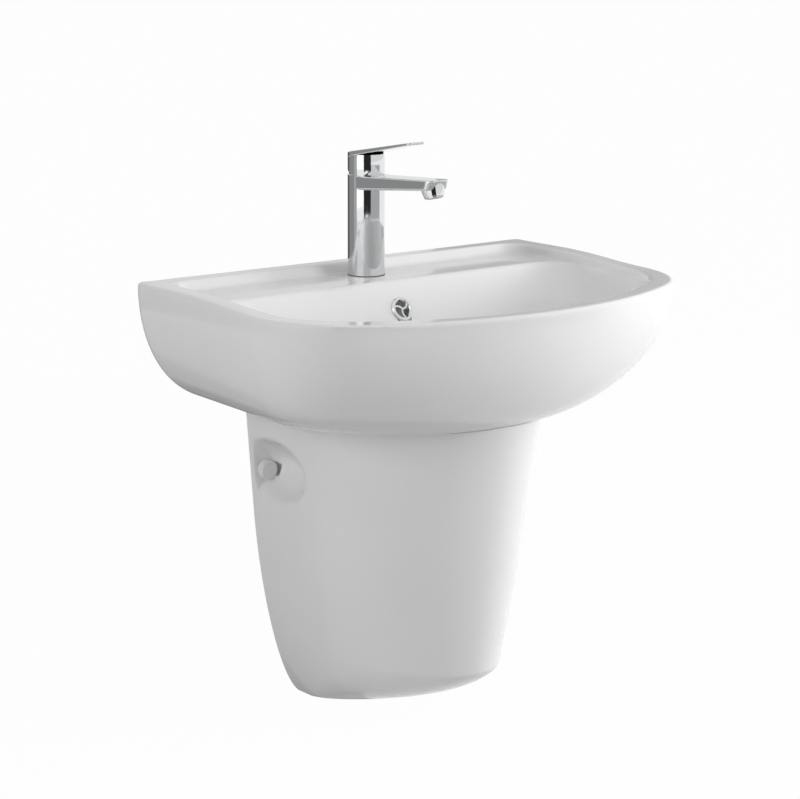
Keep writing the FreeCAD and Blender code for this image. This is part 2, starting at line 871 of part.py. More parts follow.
def ellipsoid(name, width, length, height, **where):
    item = doc.addObject("Part::Ellipsoid", name)
    set_property(item, "Radius1", height)
    set_property(item, "Radius2", width)
    set_property(item, "Radius3", length)
    return place(item, **where)


def fixing_lug(outer, number, side):
    """One fixing: a dimple in the side wall, its own wall behind it, and a lug that the screw clamps."""
    centre_x = size.pedestal_width / 2
    where = {
        "x": centre_x * side,
        "y": -size.dimple_length / 2 + size.lug_wall,
        "z": LUG_Z + size.dimple_rise,
    }
    half = (size.dimple_depth, size.dimple_length / 2, size.dimple_height / 2)
    dimple_form = ellipsoid(f"dimple_form_{number}", *half, **where)
    backing = ellipsoid(f"dimple_backing_{number}", *(radius + size.pedestal_wall for radius in half), **where)
    behind = cylinder(
        f"lug_face_{number}", 4 * size.dimple_height, size.dimple_length, y=-size.lug_wall, z=LUG_Z, along="Y"
    )
    dimple = without(f"dimple_{number}", dimple_form, behind)
    lug = cylinder(
        f"lug_block_{number}", size.dimple_height * 0.6, size.lug_wall, x=LUG_X * side, z=LUG_Z, along="-Y"
    )
    solid = shared(f"lug_{number}", outer, joined(f"lug_backing_{number}", backing, lug))
    hole = cylinder(
        f"lug_hole_{number}",
        size.pedestal_screw + 2 * size.free_fit,
        3 * size.lug_wall,
        x=LUG_X * side,
        y=size.lug_wall,
        z=LUG_Z,
        along="-Y",
    )
    return solid, dimple, hole


def build_half_pedestal():
    outer = pedestal_form("pedestal_outer")
    wall = size.pedestal_wall
    inner = pedestal_form("pedestal_inner", wall, -wall, wall, shares=(-0.05,))
    lugs = [fixing_lug(outer, number, side) for number, side in enumerate((1, -1))]
    core = without("pedestal_core", inner, *(lug[0] for lug in lugs))
    seat = basin_shell("pedestal_seat", size.seat_gap)
    shell = without("pedestal_shell", without("pedestal_wall_form", outer, core), seat)
    tools = [tool for lug in lugs for tool in lug[1:]]
    return piece("half_pedestal", without("half_pedestal", shell, *tools))


build_half_pedestal()

# ---------------------------------------------------------------------------------------------------
# Wall fixings: two studs for the basin, two screws for the half pedestal
# ---------------------------------------------------------------------------------------------------


def build_fixings():
    stud_x = size.stud_spacing / 2
    wall = size.ceramic_wall
    stud_where = {"x": stud_x, "along": "-Y"}
    bush_bore = size.stud_diameter + 2 * size.close_fit
    flange = size.washer_thickness
    wood = size.stud_wood_thread / 2
    chamfer = size.close_fit * 5
    stud = turned(
        "wall_stud_right",
        [
            (0, 0),
            (wood, 2 * wood),
            (wood, size.stud_into_wall),
            (size.stud_diameter / 2, size.stud_into_wall),
            (size.stud_diameter / 2, size.stud_length - chamfer),
            (size.stud_diameter / 2 - chamfer, size.stud_length),
            (0, size.stud_length),
        ],
        y=size.stud_into_wall,
        **stud_where,
    )
    pair("wall_studs", stud)
    bush = turned(
        "stud_bush_right",
        [
            (bush_bore / 2, 0),
            (size.bush_diameter / 2, 0),
            (size.bush_diameter / 2, wall),
            (size.bush_flange / 2, wall),
            (size.bush_flange / 2, wall + flange),
            (bush_bore / 2, wall + flange),
        ],
        **stud_where,
    )
    pair("stud_bushes", bush)
    washer = tube(
        "stud_washer_right", size.washer_diameter, bush_bore, size.washer_thickness, y=-wall - flange, **stud_where
    )
    pair("stud_washers", washer)
    nut_from = -wall - flange - size.washer_thickness
    nut = without(
        "stud_nut_right",
        hexagon("stud_nut_form", size.stud_nut_size, size.stud_nut_height, y=nut_from, **stud_where),
        cylinder("stud_nut_bore", size.stud_diameter, size.stud_nut_height, y=nut_from, **stud_where),
    )
    pair("stud_nuts", nut)

    screw_where = {"x": LUG_X, "z": LUG_Z, "along": "-Y"}
    thread = size.pedestal_screw / 2
    shank = thread * 0.85
    disc = size.washer_thickness
    under_head = size.screw_into_wall + size.lug_wall + disc
    head = thread * 1.2
    screw = turned(
        "pedestal_screw_right",
        [
            (0, 0),
            (thread, 2 * thread),
            (thread, size.screw_into_wall),
            (shank, size.screw_into_wall),
            (shank, under_head),
            (2 * thread, under_head),
            (1.8 * thread, under_head + head),
            (0, under_head + head),
        ],
        y=size.screw_into_wall,
        **screw_where,
    )
    pair("pedestal_screws", screw)
    cap_inside = size.cap_diameter - 2 * size.ring_wall
    washer = tube(
        "pedestal_washer_right",
        cap_inside - 2 * size.close_fit,
        size.pedestal_screw + 2 * size.close_fit,
        disc,
        y=-size.lug_wall,
        **screw_where,
    )
    pair("pedestal_washers", washer)
    cap = turned(
        "pedestal_cap_right",
        [
            (cap_inside / 2, 0),
            (size.cap_diameter / 2, 0),
            (size.cap_diameter / 2, size.cap_height - size.ring_wall),
            (size.cap_diameter / 2 - size.ring_wall, size.cap_height),
            (0, size.cap_height),
            (0, size.cap_height - size.ring_wall),
            (cap_inside / 2, size.cap_height - size.ring_wall),
        ],
        y=-size.lug_wall,
        **screw_where,
    )
    pair("pedestal_caps", cap)


build_fixings()


# ---------------------------------------------------------------------------------------------------
# Mixer: column and spout, inlet block, aerator, and what clamps it to the deck
# ---------------------------------------------------------------------------------------------------

SEAM = DECK + size.tap_height
PIVOT = SEAM + size.pivot_above_seam
CARTRIDGE_TOP = SEAM - size.ring_nut_height
CARTRIDGE_FLOOR = CARTRIDGE_TOP - size.cartridge_height
BLOCK_HEIGHT = 20
PORT_Y = TAP_Y - size.tap_stud_offset / 2
STUD_Y = TAP_Y + size.tap_stud_offset
PORT_BORE = size.aerator_height - 2
PORTS = ((6.0, 4.0), (-6.0, 4.0), (0.0, -8.0))


def prism(name, corners, low, high):
    """A solid with the given (x, y) outline between two heights."""
    sketch = doc.addObject("Sketcher::SketchObject", f"{name}_outline")
    draw_polygon(sketch, corners)
    place(sketch, z=low)
    item = doc.addObject("Part::Extrusion", name)
    item.Base = sketch
    item.DirMode = "Normal"
    item.Solid = True
    set_property(item, "LengthFwd", high - low)
    return item


def rounded(name, base, radius, wanted):
    """Rounds those edges of the base whose middle point passes the test."""
    doc.recompute()
    item = doc.addObject("Part::Fillet", name)
    item.Base = base
    chosen = []
    for number, edge in enumerate(base.Shape.Edges, start=1):
        if wanted(edge.valueAt((edge.FirstParameter + edge.LastParameter) / 2)):
            chosen.append((number, float(radius), float(radius)))
    item.Edges = chosen
    return item


def spout_line(reach, below):
    """Height of the spout's top at a reach from the tap's axis, or of a line below it that tapers."""
    share = reach / size.spout_reach
    return SEAM + size.spout_rise * share - below


def build_mixer_body():
    root = size.spout_root_width / 2
    tip = size.spout_tip_width / 2
    end = TAP_Y - size.spout_reach
    undercut = size.spout_tip_height / 3
    plan = prism("spout_plan", [(root, TAP_Y), (-root, TAP_Y), (-tip, end), (tip, end)], DECK, SEAM + root)
    plan = rounded("spout_plan_rounded", plan, size.spout_tip_corner, lambda point: point.y < end + 0.1 and abs(point.x) > 1)
    side = slab(
        "spout_side",
        root,
        [
            (TAP_Y, SEAM),
            (TAP_Y - size.tap_diameter / 2 - size.lever_seam, SEAM),
            (end, spout_line(size.spout_reach, 0)),
            (end + undercut, spout_line(size.spout_reach, size.spout_tip_height)),
            (TAP_Y, SEAM - size.spout_root_height),
        ],
    )
    spout = shared("spout", plan, side)
    nozzle_y = TAP_Y - size.nozzle_reach
    nozzle_top = spout_line(size.nozzle_reach, size.spout_tip_height / 2)
    turn = FreeCAD.Rotation(FreeCAD.Vector(1, 0, 0), 180 - float(size.nozzle_tilt))
    fairing_height = size.nozzle_drop + size.spout_tip_height / 2
    fairing = cone(
        "nozzle_fairing",
        size.spout_tip_width - size.spout_edge,
        size.nozzle_diameter + size.ring_wall,
        fairing_height,
        y=nozzle_y,
        z=nozzle_top,
        rotation=turn,
    )
    column = cylinder("column", size.tap_diameter, size.tap_height, y=TAP_Y, z=DECK)
    outside = joined("mixer_outside", column, spout, fairing)
    inside = size.tap_diameter - 2 * size.tap_wall
    chamber_top = CARTRIDGE_FLOOR - size.tap_wall
    recess = cylinder("base_recess", size.horseshoe_width, 2 * size.base_gasket, y=TAP_Y, z=DECK - size.base_gasket)
    chamber = cylinder("lower_chamber", inside, chamber_top - DECK, y=TAP_Y, z=DECK)
    seat = cylinder(
        "cartridge_seat",
        size.cartridge_diameter + 2 * size.close_fit,
        size.cartridge_height + 2 * size.ring_nut_height,
        y=TAP_Y,
        z=CARTRIDGE_FLOOR,
    )
    thread = cylinder("ring_nut_thread", size.ring_nut, 2 * size.ring_nut_height, y=TAP_Y, z=CARTRIDGE_TOP)
    ports = [
        cylinder(f"seat_port_{number}", PORT_BORE, 4 * size.tap_wall, x=x, y=TAP_Y + y, z=chamber_top - size.tap_wall)
        for number, (x, y) in enumerate(PORTS)
    ]
    rise_out = size.cartridge_diameter / 2 + size.ring_wall
    channel = size.aerator_height
    waterway = slab(
        "waterway",
        PORT_BORE,
        [
            (TAP_Y - rise_out + size.tap_wall, chamber_top - 2 * channel),
            (TAP_Y - rise_out - size.ring_wall, chamber_top - 2 * channel),
            (TAP_Y - rise_out - size.ring_wall, SEAM - size.spout_root_height + size.tap_wall),
            (nozzle_y, spout_line(size.nozzle_reach, size.spout_tip_height - size.tap_wall)),
            (nozzle_y, spout_line(size.nozzle_reach, size.tap_wall)),
            (TAP_Y - rise_out - size.spout_edge, SEAM - size.ring_nut_height),
            (TAP_Y - rise_out, SEAM - size.ring_nut_height - size.spout_edge),
            (TAP_Y - rise_out, chamber_top),
            (TAP_Y - rise_out + size.tap_wall, chamber_top),
        ],
    )
    mouth = cylinder("nozzle_bore", size.nozzle_diameter, 2 * fairing_height, y=nozzle_y, z=nozzle_top, rotation=turn)
    hollows = joined("mixer_hollows", recess, chamber, seat, thread, waterway, mouth, *ports)
    body = without("mixer_body", outside, hollows)
    return piece("mixer_body", body)


def build_inlet_parts():
    base = DECK + size.base_gasket
    inside = size.tap_diameter - 2 * size.tap_wall
    shank_end = DECK - size.shank_length
    block = joined(
        "inlet_block_form",
        cylinder("block_collar", inside, BLOCK_HEIGHT, y=TAP_Y, z=base),
        cylinder("block_shank", size.shank_diameter, base - shank_end, y=TAP_Y, z=shank_end),
    )
    tools = [cylinder("block_stud_hole", size.tap_stud, BLOCK_HEIGHT, y=STUD_Y, z=shank_end)]
    for number, x in enumerate((size.inlet_spacing / 2, size.inlet_spacing / -2)):
        tools.append(cylinder(f"inlet_port_{number}", size.inlet_bore, size.inlet_depth, x=x, y=PORT_Y, z=shank_end))
        tools.append(
            cylinder(f"inlet_way_{number}", PORT_BORE, 3 * size.inlet_depth, x=x, y=PORT_Y, z=shank_end)
        )
    piece("inlet_block", without("inlet_block", block, *tools))
    piece(
        "tap_gasket",
        tube("tap_gasket", size.horseshoe_width, size.shank_diameter, size.base_gasket, y=TAP_Y, z=DECK),
    )
    stud_top = shank_end + BLOCK_HEIGHT
    stud = cylinder("tap_stud", size.tap_stud, size.tap_stud_length, y=STUD_Y, z=stud_top - size.tap_stud_length)
    piece("tap_stud", stud)
    deck_under_z = RIM - deck_under
    below = deck_under_z
    for label, thickness in (("horseshoe_gasket", size.horseshoe_rubber), ("horseshoe_washer", size.horseshoe_steel)):
        low = below - thickness
        plate = cylinder(f"{label}_plate", size.horseshoe_width, thickness, y=TAP_Y, z=low)
        gap = box(
            f"{label}_gap",
            (size.horseshoe_gap / -2, size.horseshoe_gap / 2),
            (TAP_Y - size.horseshoe_width, STUD_Y - size.tap_stud_offset / 2 - size.close_fit),
            (low - thickness, low + 2 * thickness),
        )
        hole = cylinder(f"{label}_hole", size.tap_stud + 2 * size.close_fit, 3 * thickness, y=STUD_Y, z=low - thickness)
        piece(label, without(label, plate, gap, hole))
        below = low
    nut_low = below - size.tap_nut_height
    nut = without(
        "tap_nut",
        hexagon("tap_nut_form", size.tap_nut_size, size.tap_nut_height, y=STUD_Y, z=nut_low),
        cylinder("tap_nut_bore", size.tap_stud, size.tap_nut_height, y=STUD_Y, z=nut_low),
    )
    piece("tap_nut", nut)


def build_aerator():
    """The aerator screws into the nozzle: a chromed housing, its insert and the seal above it."""
    turn = FreeCAD.Rotation(FreeCAD.Vector(1, 0, 0), -float(size.nozzle_tilt))
    tilt = math.radians(float(size.nozzle_tilt))
    reach_down = size.nozzle_drop + size.spout_tip_height / 2 + size.ring_wall
    where = {
        "y": TAP_Y - size.nozzle_reach - reach_down * math.sin(tilt),
        "z": spout_line(size.nozzle_reach, size.spout_tip_height / 2) - reach_down * math.cos(tilt),
        "rotation": turn,
    }
    bore = size.aerator_bore
    height = size.aerator_height
    lip = size.ring_wall
    housing = turned(
        "aerator_housing",
        [
            (bore / 2, 0),
            (size.nozzle_diameter / 2 - lip / 2, 0),
            (size.nozzle_diameter / 2, lip / 2),
            (size.nozzle_diameter / 2, height),
            (bore / 2, height),
        ],
        **where,
    )
    piece("aerator_housing", housing)
    disc = cylinder("aerator_disc", bore, height - 2 * lip, **where)
    holes = []
    rings = ((0, 0.0), (6, 0.22), (12, 0.38))
    for count, reach in rings:
        for number in range(max(count, 1)):
            angle = 2 * math.pi * number / max(count, 1)
            hole = cylinder(f"spray_{count}_{number}", lip, 3 * height, rotation=turn)
            offset = FreeCAD.Vector(
                float(bore) * reach * math.cos(angle), float(bore) * reach * math.sin(angle), -float(height)
            )
            hole.Placement.Base = FreeCAD.Vector(0, float(where["y"]), float(where["z"])) + turn.multVec(offset)
            holes.append(hole)
    insert = without("aerator_insert", disc, *holes)
    insert.Placement.Base = turn.multVec(FreeCAD.Vector(0, 0, float(lip)))
    piece("aerator_insert", insert)
    seal_where = dict(where)
    seal_where["y"] = where["y"] + height * math.sin(tilt)
    seal_where["z"] = where["z"] + height * math.cos(tilt)
    piece("aerator_seal", tube("aerator_seal", size.nozzle_diameter, bore, lip, **seal_where))


build_mixer_body()
build_inlet_parts()
build_aerator()

# ---------------------------------------------------------------------------------------------------
# Cartridge: it turns to mix and tips to open
# ---------------------------------------------------------------------------------------------------

SPINDLE_TOP = 21


def build_cartridge():
    outer = size.cartridge_diameter / 2
    inner = outer - size.cartridge_wall
    neck = size.turret_diameter / 2
    floor = size.cartridge_floor
    height = size.cartridge_height
    shell = turned(
        "cartridge_shell",
        [
            (0, 0),
            (outer, 0),
            (outer, height),
            (neck + size.close_fit, height),
            (neck + size.close_fit, height - size.cartridge_wall),
            (inner, height - size.cartridge_wall),
            (inner, floor),
            (0, floor),
        ],
        y=TAP_Y,
        z=CARTRIDGE_FLOOR,
    )
    disc_low = CARTRIDGE_FLOOR + floor
    disc = cylinder("ceramic_disc_form", 2 * (inner - size.close_fit), size.disc_thickness, y=TAP_Y, z=disc_low)
    shell_tools = []
    disc_tools = []
    seals = []
    seal = size.cartridge_wall
    for number, (x, y) in enumerate(PORTS):
        at = {"x": x, "y": TAP_Y + y}
        shell_tools.append(cylinder(f"shell_port_{number}", PORT_BORE, floor, z=CARTRIDGE_FLOOR, **at))
        shell_tools.append(cylinder(f"seal_seat_{number}", PORT_BORE + 2 * seal, seal, z=CARTRIDGE_FLOOR, **at))
        disc_tools.append(cylinder(f"disc_port_{number}", PORT_BORE, size.disc_thickness, z=disc_low, **at))
        seals.append(tube(f"cartridge_seal_{number}", PORT_BORE + 2 * seal, PORT_BORE, seal, z=CARTRIDGE_FLOOR, **at))
    piece("cartridge_body", without("cartridge_body", shell, *shell_tools))
    piece("ceramic_disc", without("ceramic_disc", disc, *disc_tools))
    group = doc.addObject("Part::Compound", "cartridge_seals")
    group.Links = seals
    piece("cartridge_seals", group)

    slider_low = disc_low + size.disc_thickness + size.disc_gap
    slider_top = slider_low + size.slider_height
    half = size.slider_block / 2
    slider = joined(
        "slider_form",
        cylinder("slider_disc", size.slider_diameter, size.slider_height, y=TAP_Y, z=slider_low),
        box(
            "slider_block",
            (half * -1, half),
            (TAP_Y - half * 0.8, TAP_Y + half * 0.8),
            (slider_low, slider_top + size.slider_block_height),
        ),
    )
    ball_z = PIVOT - size.spindle_drop
    socket = cylinder(
        "slider_socket", size.spindle_ball + 5 * size.close_fit, size.spindle_drop, y=TAP_Y, z=ball_z - size.spindle_ball * 0.6
    )
    mixing = box(
        "slider_mixing",
        (half * -0.8, half * 0.8),
        (TAP_Y - half, TAP_Y + half / 3),
        (slider_low - size.disc_gap, slider_low + size.disc_thickness / 3),
    )
    piece("moving_disc", without("moving_disc", slider, socket, mixing))

    turret_low = slider_top + size.disc_gap
    flange_top = CARTRIDGE_TOP - size.cartridge_wall - size.disc_gap
    flange = inner - size.close_fit
    turret_form = turned(
        "turret_form",
        [
            (0, 0),
            (flange, 0),
            (flange, flange_top - turret_low),
            (neck, flange_top - turret_low),
            (neck, flange_top - turret_low + size.turret_height),
            (0, flange_top - turret_low + size.turret_height),
        ],
        y=TAP_Y,
        z=turret_low,
    )
    travel = size.spindle_drop * math.sin(math.radians(float(size.lever_lift)))
    guide = box(
        "turret_guide",
        ((half + size.close_fit) * -1, half + size.close_fit),
        (TAP_Y - travel - half * 0.8 - 5 * size.close_fit, TAP_Y + half * 0.8 + 5 * size.close_fit),
        (turret_low - size.disc_gap, flange_top),
    )
    square = size.spindle_width / 2 + size.close_fit
    slot = box(
        "turret_slot",
        (square * -1, square),
        (TAP_Y - size.spindle_width * 0.9, TAP_Y + size.spindle_width * 0.85),
        (turret_low, SEAM + size.turret_height),
    )
    pin_at = {"y": TAP_Y, "z": PIVOT, "along": "X"}
    pin_reach = size.turret_diameter * 0.97
    pin_hole = cylinder("turret_pin_hole", size.pin_diameter, pin_reach, x=pin_reach / -2, **pin_at)
    piece("cartridge_turret", without("cartridge_turret", turret_form, guide, slot, pin_hole))
    piece("cartridge_pin", cylinder("cartridge_pin", size.pin_diameter, pin_reach, x=pin_reach / -2, **pin_at))

    low = square - size.close_fit
    spindle = joined(
        "spindle_form",
        box("spindle_square", (low * -1, low), (TAP_Y - low, TAP_Y + low), (PIVOT - low, SEAM + SPINDLE_TOP)),
        cylinder("spindle_neck", size.spindle_neck, size.spindle_drop, y=TAP_Y, z=ball_z),
        sphere("spindle_ball", size.spindle_ball / 2, y=TAP_Y, z=ball_z),
    )
    bore = cylinder("spindle_bore", size.pin_diameter + size.close_fit, pin_reach, x=pin_reach / -2, **pin_at)
    piece("cartridge_spindle", without("cartridge_spindle", spindle, bore))

    nut = turned(
        "ring_nut",
        [
            (neck + size.close_fit * 7, 0),
            (size.ring_nut / 2, 0),
            (size.ring_nut / 2, size.ring_nut_height),
            (size.ring_nut_collar / 2, size.ring_nut_height),
            (size.ring_nut_collar / 2, size.ring_nut_height + size.pin_diameter),
            (neck + size.close_fit * 7, size.ring_nut_height + size.pin_diameter),
        ],
        y=TAP_Y,
        z=CARTRIDGE_TOP,
    )
    piece("ring_nut", nut)
    dome = without(
        "mixer_dome",
        shared(
            "dome_zone",
            sphere("dome_sphere", size.dome_radius, y=TAP_Y, z=PIVOT),
            cylinder("dome_slice", size.tap_diameter, size.dome_height, y=TAP_Y, z=SEAM),
        ),
        cylinder("dome_bore", size.dome_bore, 2 * size.dome_height, y=TAP_Y, z=SEAM - size.dome_height / 2),
    )
    piece("mixer_dome", dome)


build_cartridge()

# ---------------------------------------------------------------------------------------------------
# Lever
# ---------------------------------------------------------------------------------------------------


def lever_top(reach):
    """Height of the lever's top plane at a reach from the tap's axis."""
    return SEAM + size.lever_height + reach * math.tan(math.radians(float(size.lever_rise)))


def build_lever():
    hub_half = size.tap_diameter / 2
    tip_half = size.lever_tip_width / 2
    reach = size.lever_reach
    end = TAP_Y - reach
    underside = SEAM + size.lever_seam
    high = lever_top(reach) - underside
    root_half = hub_half * 0.98
    blade_plan = prism(
        "lever_blade_plan",
        [(root_half, TAP_Y), (root_half * -1, TAP_Y), (tip_half * -1, end), (tip_half, end)],
        SEAM,
        SEAM + 2 * high,
    )
    blade_plan = rounded(
        "lever_blade_rounded", blade_plan, tip_half / 3, lambda point: point.y < end + 0.1 and abs(point.x) > 1
    )
    over = lever_top(reach) + hub_half
    blade = shared(
        "lever_blade",
        blade_plan,
        slab(
            "lever_blade_side",
            size.tap_diameter,
            [
                (TAP_Y, over),
                (end - hub_half, over),
                (end - hub_half, lever_top(reach * 1.23) - size.lever_tip_thickness),
                (TAP_Y, lever_top(0) - size.lever_thickness),
            ],
        ),
    )
    hub = cylinder("lever_hub", size.tap_diameter, high, y=TAP_Y, z=underside)
    above = slab(
        "lever_above",
        size.tap_diameter,
        [
            (TAP_Y + hub_half * 2, lever_top(hub_half * -2)),
            (TAP_Y + hub_half * 2, 2 * over - underside),
            (end - hub_half * 2, 2 * over - underside),
            (end - hub_half * 2, lever_top(reach + hub_half * 2)),
        ],
    )
    form = without("lever_form", joined("lever_solid", hub, blade), above)
    cavity = sphere("lever_cavity", size.dome_radius + size.free_fit, y=TAP_Y, z=PIVOT)
    boss = cylinder("lever_boss", size.lever_socket, size.lever_height, y=TAP_Y, z=PIVOT + size.spindle_width * 0.8)
    hollow = without("lever_hollow", cavity, boss)
    relief_slope = math.tan(math.radians(float(size.lever_lift) + 1))
    relief = slab(
        "lever_relief",
        size.tap_diameter,
        [
            (TAP_Y, underside - size.lever_seam),
            (TAP_Y, underside),
            (TAP_Y + size.tap_diameter, underside + size.tap_diameter * relief_slope),
            (TAP_Y + size.tap_diameter, underside - size.lever_seam),
        ],
    )
    shank = size.spindle_width / 2
    square = box(
        "lever_square",
        (shank * -1, shank),
        (TAP_Y - shank, TAP_Y + shank),
        (PIVOT, SEAM + SPINDLE_TOP),
    )
    screw_z = SEAM + SPINDLE_TOP - size.grub_screw
    screw_way = cylinder(
        "lever_screw_way", size.grub_screw, hub_half + size.tap_wall, y=TAP_Y, z=screw_z, along="Y"
    )
    cap_depth = size.index_cap_depth
    cap_seat = cylinder(
        "lever_cap_seat", size.index_cap, size.index_cap * 2, y=TAP_Y + hub_half - cap_depth, z=screw_z, along="Y"
    )
    piece("lever_handle", without("lever_handle", form, hollow, relief, square, screw_way, cap_seat))
    screw = cylinder(
        "lever_screw_form", size.grub_screw, size.grub_screw * 1.2, y=TAP_Y + shank, z=screw_z, along="Y"
    )
    key = hexagon("lever_screw_key", size.grub_screw / 2, size.grub_screw, y=TAP_Y + shank * 2, z=screw_z, along="Y")
    piece("lever_screw", without("lever_screw", screw, key))
    cap = shared(
        "index_cap",
        cylinder("index_cap_form", size.index_cap, cap_depth + size.tap_wall, y=TAP_Y + hub_half - cap_depth, z=screw_z, along="Y"),
        cylinder("index_cap_limit", size.tap_diameter + size.lever_seam, size.lever_height, y=TAP_Y, z=SEAM),
    )
    piece("index_cap", cap)


build_lever()

# ---------------------------------------------------------------------------------------------------
# Waste and bottle trap
# ---------------------------------------------------------------------------------------------------


def build_waste():
    floor = RIM - size.bowl_height
    recess = floor - size.waste_recess_depth
    flange_gasket = size.waste_recess_depth - size.waste_flange_thickness
    tube_outer = size.waste_tube / 2
    tube_inner = tube_outer - size.waste_tube_wall
    bottom = recess - size.waste_length
    body_form = turned(
        "waste_form",
        [
            (tube_inner, 0),
            (tube_outer, 0),
            (tube_outer, floor - bottom - size.waste_flange_thickness),
            (size.waste_flange / 2, floor - bottom - size.waste_flange_thickness),
            (size.waste_flange / 2, floor - bottom),
            (tube_inner, floor - bottom),
        ],
        y=WASTE_Y,
        z=bottom,
    )
    duct_top = RIM - floor_under + size.ceramic_wall / 2
    slot = box(
        "waste_overflow_slot",
        (size.plug_stem * -1, size.plug_stem),
        (WASTE_Y, WASTE_Y + size.waste_tube),
        (duct_top - size.duct_depth, duct_top),
    )
    piece("waste_body", without("waste_body", body_form, slot))
    piece(
        "waste_flange_gasket",
        tube("waste_flange_gasket", size.waste_flange, size.waste_tube, flange_gasket, y=WASTE_Y, z=recess),
    )
    boss_low = RIM - size.shell_height
    gasket_low = boss_low - size.waste_gasket
    nut_low = gasket_low - size.waste_nut_height
    piece(
        "waste_gasket", tube("waste_gasket", size.waste_nut, size.waste_tube, size.waste_gasket, y=WASTE_Y, z=gasket_low)
    )
    nut = without(
        "waste_nut",
        hexagon("waste_nut_form", size.waste_nut, size.waste_nut_height, y=WASTE_Y, z=nut_low),
        cylinder("waste_nut_bore", size.waste_tube, size.waste_nut_height, y=WASTE_Y, z=nut_low),
    )
    piece("waste_nut", nut)

    seal = size.waste_gasket * 0.6
    seat = floor + seal
    crown_radius = (size.plug_diameter * size.plug_diameter / 4 + size.plug_crown * size.plug_crown / 4) / size.plug_crown
    crown_top = seat + size.plug_crown
    cap = shared(
        "plug_cap",
        cylinder("plug_cap_edge", size.plug_diameter, size.plug_crown, y=WASTE_Y, z=seat),
        sphere("plug_cap_crown", crown_radius, y=WASTE_Y, z=crown_top - crown_radius),
    )
    stem_length = 5 * size.plug_stem
    stem = cylinder("plug_stem", size.plug_stem, stem_length, y=WASTE_Y, z=seat - stem_length)
    piece("waste_plug", joined("waste_plug", cap, stem))
    piece("plug_seal", tube("plug_seal", size.plug_diameter - seal, size.waste_hole, seal, y=WASTE_Y, z=floor))

    guide_low = seat - stem_length + size.plug_lift / 2
    guide_height = 2.4 * size.plug_stem
    hub = cylinder("guide_hub", 1.8 * size.plug_stem, guide_height, y=WASTE_Y, z=guide_low)
    arm = size.plug_stem / 4
    arms = []
    for number, turn in enumerate((0, 60, 120)):
        item = doc.addObject("Part::Box", f"guide_arm_{number}")
        set_property(item, "Length", 2 * tube_outer)
        set_property(item, "Width", arm)
        set_property(item, "Height", size.plug_stem)
        rotation = FreeCAD.Rotation(FreeCAD.Vector(0, 0, 1), turn)
        corner = rotation.multVec(FreeCAD.Vector(-float(tube_outer), -float(arm) / 2, 0))
        item.Placement = FreeCAD.Placement(
            FreeCAD.Vector(0, float(WASTE_Y), float(guide_low)) + corner, rotation
        )
        arms.append(item)
    within = cylinder("guide_within", 2 * tube_inner, guide_height, y=WASTE_Y, z=guide_low)
    spider = shared("guide_spider", joined("guide_form", hub, *arms), within)
    bore = cylinder("guide_bore", size.plug_stem + size.close_fit, 2 * guide_height, y=WASTE_Y, z=guide_low - guide_height / 2)
    piece("plug_guide", without("plug_guide", spider, bore))
    return bottom


